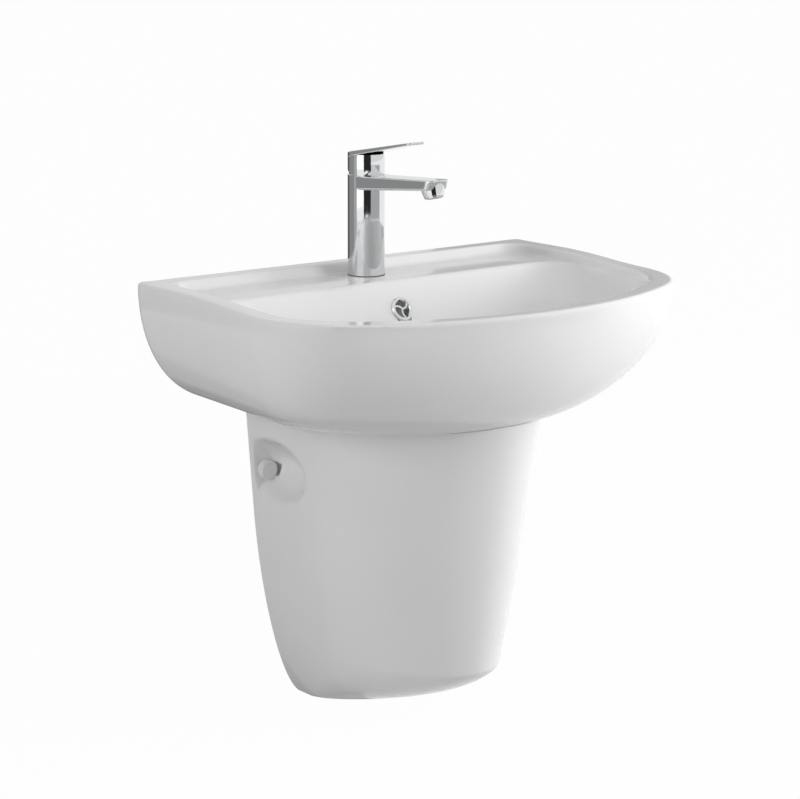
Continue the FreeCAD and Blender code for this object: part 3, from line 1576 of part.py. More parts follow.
def build_trap(waste_end):
    neck = size.waste_tube / 2
    pipe = size.tailpiece / 2
    bore = pipe - size.pipe_wall
    height = size.slip_nut_height
    lip = size.slip_seal / 2
    engaged = height - lip - size.slip_seal
    first_nut_low = waste_end - size.slip_seal - lip
    second_nut_top = first_nut_low - 3 * lip
    neck_top = second_nut_top - lip - size.slip_seal
    shoulder = neck_top - engaged - lip
    trap_low = shoulder - size.trap_height
    outlet_z = shoulder - size.trap_outlet_drop
    outlet_face = WASTE_Y + size.trap_diameter / 2
    socket_end = outlet_face + engaged + lip
    nut_outline = [
        (neck, 0),
        (size.slip_nut / 2, 0),
        (size.slip_nut / 2, height),
        (pipe + size.close_fit, height),
        (pipe + size.close_fit, height - lip),
        (neck, height - lip),
    ]
    places = [
        {"y": WASTE_Y, "z": first_nut_low + height, "along": "-Z"},
        {"y": WASTE_Y, "z": second_nut_top - height},
        {"y": socket_end + size.slip_seal + lip - height, "z": outlet_z, "along": "Y"},
    ]
    nuts = [turned(f"slip_nut_{number}", nut_outline, **where) for number, where in enumerate(places)]
    seal_places = [
        {"y": WASTE_Y, "z": waste_end - size.slip_seal},
        {"y": WASTE_Y, "z": neck_top},
        {"y": socket_end, "z": outlet_z, "along": "Y"},
    ]
    seals = [
        tube(f"slip_seal_{number}", size.waste_tube, size.tailpiece, size.slip_seal, **where)
        for number, where in enumerate(seal_places)
    ]
    for label, items in (("slip_nuts", nuts), ("slip_seals", seals)):
        group = doc.addObject("Part::Compound", label)
        group.Links = items
        piece(label, group)

    pipe_low = trap_low + size.trap_height / 4
    piece(
        "tailpiece",
        tube("tailpiece", size.tailpiece, 2 * bore, waste_end + lip - pipe_low, y=WASTE_Y, z=pipe_low),
    )
    at_wall = lip - socket_end
    past_wall = at_wall + size.outlet_mark_width / 2
    length = at_wall + size.outlet_into_wall
    outlet = turned(
        "outlet_pipe",
        [
            (bore, 0),
            (pipe, 0),
            (pipe, past_wall),
            (pipe - size.outlet_mark, past_wall),
            (pipe - size.outlet_mark, past_wall + size.outlet_mark_width),
            (pipe, past_wall + size.outlet_mark_width),
            (pipe, length),
            (bore, length),
        ],
        y=socket_end - lip,
        z=outlet_z,
        along="Y",
    )
    piece("outlet_pipe", outlet)
    clear = size.tailpiece + 2 * size.close_fit
    wall = size.trap_wall
    outside = joined(
        "trap_outside",
        cylinder("trap_round", size.trap_diameter, size.trap_height, y=WASTE_Y, z=trap_low),
        cylinder("trap_neck", size.waste_tube, neck_top - shoulder + wall, y=WASTE_Y, z=shoulder - wall),
        cylinder("trap_socket", size.waste_tube, socket_end - WASTE_Y, y=WASTE_Y, z=outlet_z, along="Y"),
    )
    inside = joined(
        "trap_inside",
        cylinder("trap_hollow", size.trap_diameter - 2 * wall, size.trap_height, y=WASTE_Y, z=trap_low - wall),
        cylinder("trap_neck_bore", clear, 6 * size.slip_nut_height, y=WASTE_Y, z=shoulder - 2 * wall),
        cylinder("trap_socket_bore", clear, 2 * size.trap_diameter, y=WASTE_Y, z=outlet_z, along="Y"),
    )
    piece("trap_body", without("trap_body", outside, inside))
    radius = size.trap_diameter / 2
    overlap = size.cup_height / 3
    deep = size.cup_height - overlap
    cup = turned(
        "trap_cup",
        [
            (0, 0),
            (radius + wall, 0),
            (radius + wall, size.cup_height),
            (radius, size.cup_height),
            (radius, deep),
            (radius - wall, deep),
            (radius - wall, wall),
            (0, wall),
        ],
        y=WASTE_Y,
        z=trap_low - deep,
    )
    piece("trap_cup", cup)
    depth = size.rosette_depth
    rosette = turned(
        "wall_rosette",
        [
            (pipe + size.close_fit, 0),
            (size.rosette_diameter / 2, 0),
            (size.rosette_diameter / 2, size.ring_wall),
            (pipe + wall, depth),
            (pipe + size.close_fit, depth),
            (pipe + size.close_fit, depth - size.ring_wall),
            (pipe + size.close_fit, size.ring_wall),
        ],
        z=outlet_z,
        along="-Y",
    )
    piece("wall_rosette", rosette)


build_trap(build_waste())

# ---------------------------------------------------------------------------------------------------
# Checks and export
# ---------------------------------------------------------------------------------------------------

doc.recompute()
failed = [item.Name for item in doc.Objects if "Invalid" in item.State or "Error" in item.State]
for item in pieces:
    if item.Shape.isNull() or not item.Shape.isValid() or not item.Shape.Solids:
        failed.append(item.Label)
if failed:
    raise RuntimeError("These didn't build: " + ", ".join(failed))
os.makedirs("parts", exist_ok=True)
for item in pieces:
    item.Shape.exportStep(f"parts/{item.Label}.step")
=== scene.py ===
import math

import bmesh
import bpy
import numpy as np
from mathutils import Matrix, Vector


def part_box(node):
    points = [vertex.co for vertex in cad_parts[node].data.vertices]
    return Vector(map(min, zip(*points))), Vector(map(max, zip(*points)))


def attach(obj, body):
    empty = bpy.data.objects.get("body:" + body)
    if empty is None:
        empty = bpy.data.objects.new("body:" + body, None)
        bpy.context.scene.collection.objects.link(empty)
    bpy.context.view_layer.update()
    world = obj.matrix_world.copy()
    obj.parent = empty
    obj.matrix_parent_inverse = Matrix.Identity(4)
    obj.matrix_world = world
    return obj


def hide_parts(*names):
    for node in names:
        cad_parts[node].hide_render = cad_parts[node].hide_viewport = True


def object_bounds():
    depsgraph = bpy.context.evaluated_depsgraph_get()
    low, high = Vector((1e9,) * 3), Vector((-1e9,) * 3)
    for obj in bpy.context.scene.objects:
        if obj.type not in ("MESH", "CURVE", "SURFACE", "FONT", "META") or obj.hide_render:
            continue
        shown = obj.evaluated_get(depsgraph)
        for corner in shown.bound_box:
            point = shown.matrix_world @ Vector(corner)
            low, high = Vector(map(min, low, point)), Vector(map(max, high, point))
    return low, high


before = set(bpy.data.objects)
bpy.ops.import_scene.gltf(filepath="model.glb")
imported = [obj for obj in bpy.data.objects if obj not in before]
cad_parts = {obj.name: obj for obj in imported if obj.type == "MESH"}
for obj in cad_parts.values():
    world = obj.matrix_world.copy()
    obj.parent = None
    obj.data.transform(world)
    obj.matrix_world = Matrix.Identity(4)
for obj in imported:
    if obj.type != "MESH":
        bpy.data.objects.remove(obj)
cad_low, cad_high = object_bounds()
scene = bpy.context.scene

# Basin: one vitreous china casting, a bowl and a sunken tap deck inside a rounded shell. Slip casting
# leaves no crease and the white glaze is fired over every edge, so each edge is rolled over. The back
# is cast open behind the bowl and at both ends, where the wall and the half pedestal hide it.
basin_low, basin_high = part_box("basin")
rim_z = basin_high[2]
shell_half = basin_high[0]
shell_front = -basin_low[1]
bowl_half = shell_half - 0.027
bowl_front = shell_front - 0.021
under_half, under_front, under_side, under_corner = 0.171, 0.279, 0.125, 0.081
shell_drop, bowl_drop, deck_drop = 0.155, 0.130, 0.012
deck_cavity_drop, bowl_cavity_drop, cavity_floor_drop = 0.025, 0.143, 0.194
shell_tilt = math.radians(1.6)
china = 0.013
back_edge = 0.003
bowl_back, bowl_back_run = 0.107, 0.062
stud_x = 0.140
plug_low, plug_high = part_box("waste_plug")
waste_y = (plug_low[1] + plug_high[1]) / 2
gasket_low, gasket_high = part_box("tap_gasket")
tap_y = (gasket_low[1] + gasket_high[1]) / 2
overflow_low, overflow_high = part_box("overflow_ring")
overflow = Vector((0, (overflow_low[1] + overflow_high[1]) / 2, (overflow_low[2] + overflow_high[2]) / 2))
overflow_tilt = math.atan2(bowl_back_run, bowl_drop)


def nose_radius(half, reach, corner):
    across = half - corner
    return (across**2 + reach**2 - corner**2) / (2 * (reach - corner))


def arch(half, front, side, corner, nose, back, back_corner, split, counts):
    """Half a plan outline as (x, y) rows, from the middle of the back round one side to the nose."""
    centre_x = half - corner
    nose_y = nose - front
    toward = 1 if corner > nose else -1
    turn = math.atan2(toward * (-side - nose_y), -toward * centre_x)
    along = np.linspace(0, 1, counts[0], endpoint=False)
    rows = [np.stack([along * (half - back_corner), 0 * along - back], axis=1)]
    quarter = back_corner * math.pi / 2
    run = np.linspace(0, 1, counts[1], endpoint=False) * (quarter + split - back - back_corner)
    angle = np.minimum(run, quarter) / back_corner
    rows.append(np.stack([
        half - back_corner * (1 - np.sin(angle)),
        -back - back_corner * (1 - np.cos(angle)) - np.maximum(run - quarter, 0),
    ], axis=1))
    along = np.linspace(0, 1, counts[2], endpoint=False)
    rows.append(np.stack([half + 0 * along, -split - (side - split) * along], axis=1))
    angle = np.linspace(0, -turn, counts[3], endpoint=False)
    rows.append(np.stack([centre_x + corner * np.cos(angle), -side + corner * np.sin(angle)], axis=1))
    angle = np.linspace(-turn, -math.pi / 2, counts[4] + 1)
    rows.append(np.stack([nose * np.cos(angle), nose_y + nose * np.sin(angle)], axis=1))
    return np.vstack(rows)


def superellipse(share, power):
    return max(0.0, 1 - share**power) ** (1 / power)


def curl(share, start, power):
    """From 0 at the start to 1, slowly at first, as an outline curls in."""
    return 1 - superellipse(max(0.0, (share - start) / (1 - start)), power)


def fall_at(step, steps):
    """Levels of the outside, from 1 at the underside to 0 at the rim, close together at the underside."""
    return math.cos(math.pi / 2 * step / steps) ** 0.9 if step < steps else 0.0


def rim_line(y):
    """Height of the rim, which dips in a double bend towards the front."""
    bend = np.clip((-y - 0.086) / 0.186, 0, 1)
    return rim_z - 0.0075 * np.where(bend < 0.5, 2 * bend**2, 1 - 2 * (1 - bend) ** 2)


def shell_ring(fall, counts, split, back=0.0, inset=0.0):
    """One level of the outside, which is a superellipse in side view, down to its flat underside."""
    wide, deep = superellipse(fall, 2.17), superellipse(fall, 2.35)
    half = under_half + (shell_half - under_half) * wide - inset
    front = under_front + (shell_front - under_front) * deep - inset
    side = under_side + 0.111 * deep
    corner = under_corner + 0.060 * wide - inset
    nose = nose_radius(half, front - side, corner)
    plan = arch(half, front, side, corner, nose, back, back_edge, split, counts)
    slope = shell_tilt * fall
    height = rim_z - shell_drop * fall + plan[:, 1] * math.sin(slope)
    return np.column_stack([plan[:, 0], plan[:, 1] * math.cos(slope), height])


def bowl_ring(share, counts, split, half=None, back=None, back_corner=None):
    half = half or bowl_half - 0.040 * share - 0.090 * curl(share, 0.3, 2.2)
    front = bowl_front - 0.006 * share - 0.088 * curl(share, 0.4, 2.4)
    bow = bowl_front - 0.236
    side = front - bow * (1 - 0.595 * (bowl_front - front) / 0.094)
    corner = bow * (0.709 - 0.380 * share)
    back = back or bowl_back + bowl_back_run * share + 0.020 * curl(share, 0.6, 2)
    back_corner = back_corner or min(0.030 + 0.17 * share, side - back - 0.004)
    border = max(split, back + back_corner + 1e-4)
    nose = nose_radius(half, front - side, corner)
    plan = arch(half, front, side, corner, nose, back, back_corner, border, counts)
    return np.column_stack([plan, np.full(len(plan), rim_z - bowl_drop * share)])


def circle_ring(radius, z, count):
    angle = np.linspace(math.pi / 2, -math.pi / 2, count)
    y = waste_y + radius * np.sin(angle)
    height = z if z is not None else rim_z - shell_drop + y * math.sin(shell_tilt)
    return np.column_stack([radius * np.cos(angle), y, 0 * angle + height])


def whole(half_rings):
    """Both halves of each ring, as an array of (ring, place round it, xyz)."""
    half = np.stack(half_rings)
    return np.concatenate([half, half[:, -2:0:-1] * (-1, 1, 1)], axis=1)


def ring_faces(rows, columns, closed):
    """Quads from each loop of points to the next, and from the last back to the first if closed."""
    faces = []
    for row in range(rows if closed else rows - 1):
        first, second = row * columns, (row + 1) % rows * columns
        for column in range(columns):
            after = (column + 1) % columns
            faces.append((first + column, first + after, second + after, second + column))
    return faces


def capped_faces(rows, columns):
    """Quads from each loop to the next, and a flat face over each end."""
    count = rows * columns
    ends = [tuple(range(columns)), tuple(range(count - 1, count - columns - 1, -1))]
    return ring_faces(rows, columns, False) + ends


def solid(name, points, faces):
    """A closed mesh object with its doubles merged and its faces outward."""
    mesh = bpy.data.meshes.new(name)
    mesh.from_pydata(np.asarray(points).reshape(-1, 3).tolist(), [], faces)
    work = bmesh.new()
    work.from_mesh(mesh)
    bmesh.ops.remove_doubles(work, verts=work.verts, dist=1e-6)
    bmesh.ops.recalc_face_normals(work, faces=work.faces)
    work.to_mesh(mesh)
    work.free()
    item = bpy.data.objects.new(name, mesh)
    scene.collection.objects.link(item)
    return item


def stacked(name, half_rings):
    """A solid from half outlines, one over the other, closed by a flat face at each end."""
    rows = whole(half_rings)
    return solid(name, rows, capped_faces(rows.shape[0], rows.shape[1]))


def bar(name, half_width, side_view):
    """A bar across the basin, from its (y, z) side view."""
    points = [(x, y, z) for x in (half_width, -half_width) for y, z in side_view]
    return solid(name, points, capped_faces(2, len(side_view)))


def drum(name, radius, start, end, segments=64):
    """A round bar between two points."""
    start, end = Vector(start), Vector(end)
    turn = (end - start).to_track_quat("Z", "Y").to_matrix()
    angle = np.linspace(0, 2 * math.pi, segments, endpoint=False)
    disc = [turn @ Vector((radius * math.cos(a), radius * math.sin(a), 0)) for a in angle]
    points = [tuple(start + at) for at in disc] + [tuple(end + at) for at in disc]
    return solid(name, points, capped_faces(2, segments))


def settled_mesh(item):
    """A copy of an object's mesh with its modifiers applied."""
    bpy.context.view_layer.update()
    return bpy.data.meshes.new_from_object(item.evaluated_get(bpy.context.evaluated_depsgraph_get()))


def cut(item, operation, *tools):
    """Applies each tool to item with a boolean and removes the tool."""
    for tool in tools:
        modifier = item.modifiers.new("cut", "BOOLEAN")
        modifier.operation = operation
        modifier.solver = "MANIFOLD"
        modifier.object = tool
        shaped = settled_mesh(item)
        item.modifiers.remove(modifier)
        shaped.name = item.data.name
        item.data = shaped
        bpy.data.objects.remove(tool)
    return item


def finish_surface(item, sharp=math.radians(40)):
    item.data.polygons.foreach_set("use_smooth", [True] * len(item.data.polygons))
    item.data.set_sharp_from_angle(angle=sharp)


def rolled(rings, counts, softness):
    """Rows across the rings with every edge rolled over. counts gives the rows between one ring and the
    next, and softness how far the edge at each ring is rolled."""
    rings = np.asarray(rings)
    steps = np.linalg.norm(np.diff(rings, axis=0), axis=2)
    reach = np.concatenate([np.zeros((1, steps.shape[1])), np.cumsum(steps, axis=0)])
    marks = np.concatenate([[0.0], np.cumsum(counts)])
    rows = np.arange(marks[-1] + 1)
    wanted = np.interp(rows, marks, softness)
    even = np.hanning(13)[1:-1]
    even /= even.sum()
    widths = (0.0008, 0.0016, 0.0032, 0.0064)
    step, window, margin = 0.0006, 40, 0.03
    level = np.interp(wanted, widths, range(len(widths)))
    lower = np.minimum(level.astype(int), len(widths) - 2)
    mix = (level - lower)[:, None]
    places = np.arange(len(rows))
    result = np.empty((len(rows), rings.shape[1], 3))
    for place in range(rings.shape[1]):
        path, along = rings[:, place], reach[:, place]
        fine = np.arange(-margin, along[-1] + margin, step)
        line = np.stack([np.interp(fine, along, path[:, axis]) for axis in range(3)])
        for outside, end, beside in ((fine < 0, 0, 1), (fine > along[-1], -1, -2)):
            way = (path[end] - path[beside]) / max(np.linalg.norm(path[end] - path[beside]), 1e-9)
            line[:, outside] += way[:, None] * np.abs(fine[outside] - along[end])
        at = np.interp(rows, marks, along)
        at = np.convolve(np.pad(at, len(even) // 2, mode="reflect", reflect_type="odd"), even, "valid")
        soft = []
        for width in widths:
            kernel = np.exp(-0.5 * (np.arange(-window, window + 1) * step / width) ** 2)
            kernel /= kernel.sum()
            padded = [np.pad(values, window, mode="edge") for values in line]
            rounded = [np.convolve(values, kernel, "valid") for values in padded]
            soft.append(np.stack([np.interp(at, fine, values) for values in rounded], axis=1))
        soft = np.stack(soft)
        result[:, place] = soft[lower, places] * (1 - mix) + soft[lower + 1, places] * mix
    return result


round_counts = (30, 26, 18, 40, 34)
split = 0.1441
rings, counts, softness = [], [], []
shell_steps = 26
for step in range(shell_steps + 1):
    ring = shell_ring(fall_at(step, shell_steps), round_counts, split)
    ring[:, 2] = np.minimum(ring[:, 2], rim_line(ring[:, 1]))
    rings.append(ring)
    counts.append(2)
    softness.append(0.0030)
inner_rim = bowl_ring(0, round_counts, split, back=0.024, back_corner=0.030)
inner_rim[:, 2] = rim_line(inner_rim[:, 1])
deck_share = deck_drop / bowl_drop
deck_half = bowl_half - 0.0055
counts[-1] = 12
rings += [inner_rim, bowl_ring(deck_share, round_counts, split, deck_half, 0.033, 0.027)]
rings += [bowl_ring(deck_share + 0.001, round_counts, split, deck_half)]
counts += [10, 16]
softness += [0.0028, 0.0022, 0.0032]
bowl_levels = (0.16, 0.24, 0.32, 0.4, 0.48, 0.55, 0.62, 0.68, 0.735)
bowl_levels += (0.79, 0.84, 0.88, 0.915, 0.945, 0.968, 0.985, 0.995, 1.0)
for share in bowl_levels:
    rings.append(bowl_ring(share, round_counts, split))
    counts.append(3)
    softness.append(0.0032)
places = len(rings[0])
bowl_floor = rim_z - bowl_drop
rings += [circle_ring(0.075, bowl_floor, places), circle_ring(0.040, bowl_floor, places)]
counts += [6, 4]
softness += [0.003, 0.002]
skin = rolled(rings, counts, softness)
waste_profile = (
    (0.0345, bowl_floor), (0.0338, bowl_floor - 0.0002), (0.0335, bowl_floor - 0.0006),
    (0.0335, bowl_floor - 0.003), (0.0225, bowl_floor - 0.003), (0.0225, bowl_floor - 0.012),
    (0.0225, None), (0.040, None),
)
rows = whole(list(skin) + [circle_ring(radius, z, places) for radius, z in waste_profile])
basin = solid("basin_china", rows, ring_faces(rows.shape[0], rows.shape[1], True))


def behind_bowl(drop, off):
    """A place in the side view, this far below the rim and off the bowl's back."""
    return off - bowl_back - bowl_back_run * drop / bowl_drop, rim_z - drop


few, few_split, cavity_steps = (6, 8, 4, 12, 10), 0.05, 18
past_wall = 0.0065
deck_cavity_half = 0.168
deck_cavity = bar("deck_cavity", deck_cavity_half, [
    (-china, rim_z - deck_cavity_drop),
    behind_bowl(deck_cavity_drop, china),
    behind_bowl(bowl_cavity_drop, china),
    (behind_bowl(bowl_cavity_drop, 0)[0], rim_z - cavity_floor_drop),
    (-china, rim_z - cavity_floor_drop),
])
foot = 0.040
belly_half, belly_front = under_half - foot, under_front - foot
belly_nose = nose_radius(belly_half, belly_front - under_side, under_corner)
belly_plan = arch(
    belly_half, belly_front, under_side, under_corner, belly_nose, china, back_edge, few_split, few
)
belly = stacked("belly_cavity", [
    np.column_stack([belly_plan, np.full(len(belly_plan), rim_z - drop)])
    for drop in (bowl_cavity_drop, cavity_floor_drop)
])
shell_space = stacked("shell_space", [
    shell_ring(fall_at(step, cavity_steps), few, few_split, -0.010, china)
    for step in range(1, cavity_steps + 1)
])
ends = bar("end_cavities", shell_half, [
    (past_wall, rim_z - deck_cavity_drop), behind_bowl(deck_cavity_drop, china),
    behind_bowl(bowl_cavity_drop, china), (past_wall, rim_z - bowl_cavity_drop),
])
cut(ends, "INTERSECT", shell_space)
webs = bar("webs", deck_cavity_half + china, [(0.02, 0.2), (-0.2, 0.2), (-0.2, -0.2), (0.02, -0.2)])
cut(ends, "DIFFERENCE", webs)
pocket = drum(
    "waste_pocket", 0.043, (0, waste_y, rim_z - cavity_floor_drop), (0, waste_y, rim_z - shell_drop)
)
duct_reach = 0.033
duct = bar("overflow_duct_rib", duct_reach, [
    behind_bowl(deck_cavity_drop, 0),
    behind_bowl(deck_cavity_drop, duct_reach),
    behind_bowl(bowl_cavity_drop, duct_reach),
    (behind_bowl(bowl_cavity_drop, duct_reach)[0], rim_z - shell_drop),
    (waste_y, rim_z - shell_drop),
    (waste_y, bowl_floor),
])
boss = drum("waste_boss", 0.040, (0, waste_y, rim_z - shell_drop), (0, waste_y, bowl_floor))
space = cut(deck_cavity, "UNION", belly, pocket)
cut(space, "DIFFERENCE", duct, boss)
out_of_bowl = Vector((0, -math.cos(overflow_tilt), -math.sin(overflow_tilt)))
overflow_hole = drum(
    "overflow_hole", 0.012, overflow + 0.03 * out_of_bowl, overflow - 0.022 * out_of_bowl
)
tap_hole = drum("tap_hole", 0.0175, (0, tap_y, rim_z - 0.04), (0, tap_y, rim_z + 0.04))
stud_holes = [drum("stud_hole", 0.0092, (x, 0.02, 0), (x, -0.02, 0), 40) for x in (stud_x, -stud_x)]
cut(basin, "DIFFERENCE", space, ends, overflow_hole, tap_hole, *stud_holes)
finish_surface(basin)


def surface(name, color, roughness, metallic=0.0, ior=1.5):
    """A material whose values that are the same all over are set on the shader itself."""
    material = bpy.data.materials.new(name)
    material.use_nodes = True
    shader = material.node_tree.nodes["Principled BSDF"]
    shader.inputs["Base Color"].default_value = (*color, 1)
    shader.inputs["Roughness"].default_value = roughness
    shader.inputs["Metallic"].default_value = metallic
    shader.inputs["IOR"].default_value = ior
    return material


def grain(material, scale, detail=2.0, stretch=(1, 1, 1)):
    """Noise on the piece's own coordinates, in metres."""
    tree = material.node_tree
    place = tree.nodes.new("ShaderNodeTexCoord")
    mapping = tree.nodes.new("ShaderNodeMapping")
    mapping.inputs["Scale"].default_value = stretch
    noise = tree.nodes.new("ShaderNodeTexNoise")
    noise.inputs["Scale"].default_value = scale
    noise.inputs["Detail"].default_value = detail
    tree.links.new(place.outputs["Object"], mapping.inputs["Vector"])
    tree.links.new(mapping.outputs["Vector"], noise.inputs["Vector"])
    return noise.outputs["Fac"]


def tint(material, pattern, low, high, socket="Base Color"):
    """Lets a pattern from 0.3 to 0.7 run between two colours, or two plain values, on a shader socket."""
    tree = material.node_tree
    shader = tree.nodes["Principled BSDF"]
    if socket == "Base Color":
        ramp = tree.nodes.new("ShaderNodeValToRGB")
        ramp.color_ramp.elements[0].position = 0.3
        ramp.color_ramp.elements[1].position = 0.7
        ramp.color_ramp.elements[0].color = (*low, 1)
        ramp.color_ramp.elements[1].color = (*high, 1)
        tree.links.new(pattern, ramp.inputs["Fac"])
        tree.links.new(ramp.outputs["Color"], shader.inputs[socket])
        return
    span = tree.nodes.new("ShaderNodeMapRange")
    for name, value in (("From Min", 0.3), ("From Max", 0.7), ("To Min", low), ("To Max", high)):
        span.inputs[name].default_value = value
    tree.links.new(pattern, span.inputs["Value"])
    tree.links.new(span.outputs["Result"], shader.inputs[socket])


def relief(material, pattern, height, strength=1.0):
    """Raises the surface by up to height metres where the pattern is 1."""
    tree = material.node_tree
    bump = tree.nodes.new("ShaderNodeBump")
    bump.inputs["Strength"].default_value = strength
    bump.inputs["Distance"].default_value = height
    tree.links.new(pattern, bump.inputs["Height"])
    tree.links.new(bump.outputs["Normal"], tree.nodes["Principled BSDF"].inputs["Normal"])


def coat(item, material):
    item.data.materials.clear()
    item.data.materials.append(material)
    item.data.polygons.foreach_set("material_index", [0] * len(item.data.polygons))


def dress(material, *names):
    for name in names:
        coat(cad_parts[name], material)


china_glaze = surface("white_china_glaze", (0.83, 0.83, 0.828), 0.09, ior=1.54)
tint(china_glaze, grain(china_glaze, 9, 3), (0.822, 0.822, 0.820), (0.845, 0.845, 0.843))
tint(china_glaze, grain(china_glaze, 26, 2), 0.07, 0.12, "Roughness")
relief(china_glaze, grain(china_glaze, 24, 1), 0.00025, 0.35)
coat(basin, china_glaze)
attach(basin, "basin_unit")
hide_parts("basin")

# Half pedestal: an open-backed vitreous china shell that hides the trap. It hooks up under the basin
# and two screws hold it to the wall through lugs at the bottom of a moulded hollow in each side.
screw_low, screw_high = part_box("pedestal_screws")
screw_head = (screw_high[2] - screw_low[2]) / 2
lug = Vector((screw_high[0] - screw_head, -0.012, (screw_low[2] + screw_high[2]) / 2))
pedestal_top = rim_z - 0.150
pedestal_half, pedestal_depth, pedestal_drop = 0.1475, 0.335, 0.410
pedestal_wall = 0.011
hollow = Vector((pedestal_half, -0.052, lug.z + 0.006))
hollow_reach = (0.048, 0.064, 0.040)


def softly_least(first, second, blend):
    least = np.minimum(first, second)
    return least - blend * np.log(np.exp((least - first) / blend) + np.exp((least - second) / blend))


def hollow_side(y, z, outset):
    """How far out the hollow's surface is, as an ellipsoid let into the side."""
    wide, long, tall = (reach + outset for reach in hollow_reach)
    inside = 1 - ((y - hollow.y) / long) ** 2 - ((z - hollow.z) / tall) ** 2
    return hollow.x - wide * np.sign(inside) * np.abs(inside) ** 0.8


def pedestal_ring(share, inside):
    half = pedestal_half - 0.033 * share - 0.054 * curl(share, 0.383, 1.85)
    depth = pedestal_depth - 0.062 * share - 0.240 * curl(share, 0.784, 1.4)
    side = 0.415 * depth
    drop = pedestal_drop
    if inside:
        half, depth, drop = half - pedestal_wall, depth - pedestal_wall, drop - pedestal_wall
    reach = depth - side
    nose = half * (half / reach) ** 1.2
    corner = (half**2 + reach**2 - 2 * reach * nose) / (2 * (half - nose))
    border = min(0.030, 0.6 * side)
    counts = (1, 32, 32, 40, 26)
    edge = 0.0005 if inside else back_edge
    plan = arch(half, depth, side, corner, nose, 0, edge, border, counts)[1:]
    x, y = plan[:, 0], plan[:, 1]
    z = pedestal_top - drop * share + 0 * x
    pressed = softly_least(x, hollow_side(y, z, pedestal_wall if inside else 0), 0.0060)
    if inside:
        x = pressed
    else:
        past_lug = np.clip((-y + lug.y + 0.0015) / 0.003, 0, 1)
        x = x + (pressed - x) * past_lug**2 * (3 - 2 * past_lug)
    return np.column_stack([x, y, z])


foot_start = 0.86
side_rows = np.linspace(0, foot_start, 122, endpoint=False)
foot_rows = foot_start + 0.133 * np.sin(np.linspace(0, math.pi / 2, 40))
levels = []
for share in np.concatenate([side_rows, foot_rows]):
    outer, inner = pedestal_ring(share, False), pedestal_ring(share, True)
    levels.append(np.vstack([outer, outer[-2::-1] * (-1, 1, 1), inner * (-1, 1, 1), inner[-2::-1]]))
loop = len(levels[0])
faces = ring_faces(len(levels), loop, False)
outer_count = len(pedestal_ring(0, False))
outer_last = 2 * outer_count - 1
for step in range(outer_last - 1):
    across = loop - 1 - step
    faces.append((step, step + 1, across - 1, across))
base = (len(levels) - 1) * loop
for start, end in ((0, outer_last - 1), (outer_last, loop - 1)):
    while end - start > 1:
        faces.append((base + start, base + end, base + end - 1, base + start + 1))
        start, end = start + 1, end - 1
faces.append((base, base + loop - 1, base + outer_last, base + outer_last - 1))
half_pedestal = solid("half_pedestal_china", np.stack(levels), faces)
seat = stacked("pedestal_seat", [
    shell_ring(fall_at(step, 40), (20, 16, 10, 30, 30), few_split, -0.02) - (0, 0, 0.0003)
    for step in range(31)
])
screw_ways = [
    drum("screw_way", 0.0045, (side * lug.x, 0.01, lug.z), (side * lug.x, -0.03, lug.z), 32)
    for side in (1, -1)
]
sinkings = [
    drum("screw_sinking", 0.0095, (side * (lug.x - 0.009), lug.y + 0.006, lug.z),
         (side * (lug.x - 0.009), lug.y - 0.012, lug.z), 48)
    for side in (1, -1)
]
cut(half_pedestal, "DIFFERENCE", seat, *screw_ways, *sinkings)
finish_surface(half_pedestal)
coat(half_pedestal, china_glaze)
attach(half_pedestal, "basin_unit")
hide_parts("half_pedestal")

# Wall fixings: two steel studs with nylon bushes carry the basin, and two screws under round plastic
# caps hold the half pedestal. All of it but the caps is out of sight once the basin is up.
steel = surface("stainless_steel", (0.56, 0.56, 0.57), 0.34, 1.0)
turned_lines = grain(steel, 160, 2, (1, 6, 1))
tint(steel, turned_lines, 0.26, 0.42, "Roughness")
tint(steel, grain(steel, 30, 3), (0.53, 0.53, 0.54), (0.60, 0.60, 0.61))
relief(steel, turned_lines, 0.00004)
nylon = surface("moulded_nylon", (0.80, 0.80, 0.77), 0.45, ior=1.53)
tint(nylon, grain(nylon, 60, 3), (0.77, 0.77, 0.74), (0.82, 0.82, 0.79))
relief(nylon, grain(nylon, 900, 1), 0.00004, 0.5)
cap_plastic = surface("gloss_cap_plastic", (0.80, 0.80, 0.80), 0.22, ior=1.49)
tint(cap_plastic, grain(cap_plastic, 50, 2), (0.79, 0.79, 0.79), (0.82, 0.82, 0.82))
relief(cap_plastic, grain(cap_plastic, 300, 1), 0.00003, 0.4)
dress(steel, "wall_studs", "stud_washers", "stud_nuts", "pedestal_washers")
dress(nylon, "stud_bushes")
dress(cap_plastic, "pedestal_caps")

# Pedestal screws: a countersunk head under each cap and a coarse thread, ridge after ridge along the
# shank. Of what bites in the wall only the first 8 mm is drawn.
def joined(tree, kind, given, *sources):
    """A node of this kind, its first input fed by the sources and its named inputs set or linked."""
    node = tree.nodes.new(kind)
    for source in sources:
        tree.links.new(source, node.inputs[0])
    for name, value in given.items():
        if isinstance(value, bpy.types.NodeSocket):
            tree.links.new(value, node.inputs[name])
        else:
            node.inputs[name].default_value = value
    return node


def node_group(name, **inputs):
    """A geometry node group with these named inputs and a material."""
    tree = bpy.data.node_groups.new(name, "GeometryNodeTree")
    for label, kind in inputs.items():
        tree.interface.new_socket(label, in_out="INPUT", socket_type="NodeSocket" + kind)
    tree.interface.new_socket("paint", in_out="INPUT", socket_type="NodeSocketMaterial")
    tree.interface.new_socket("Geometry", in_out="OUTPUT", socket_type="NodeSocketGeometry")
    return tree, tree.nodes.new("NodeGroupInput").outputs


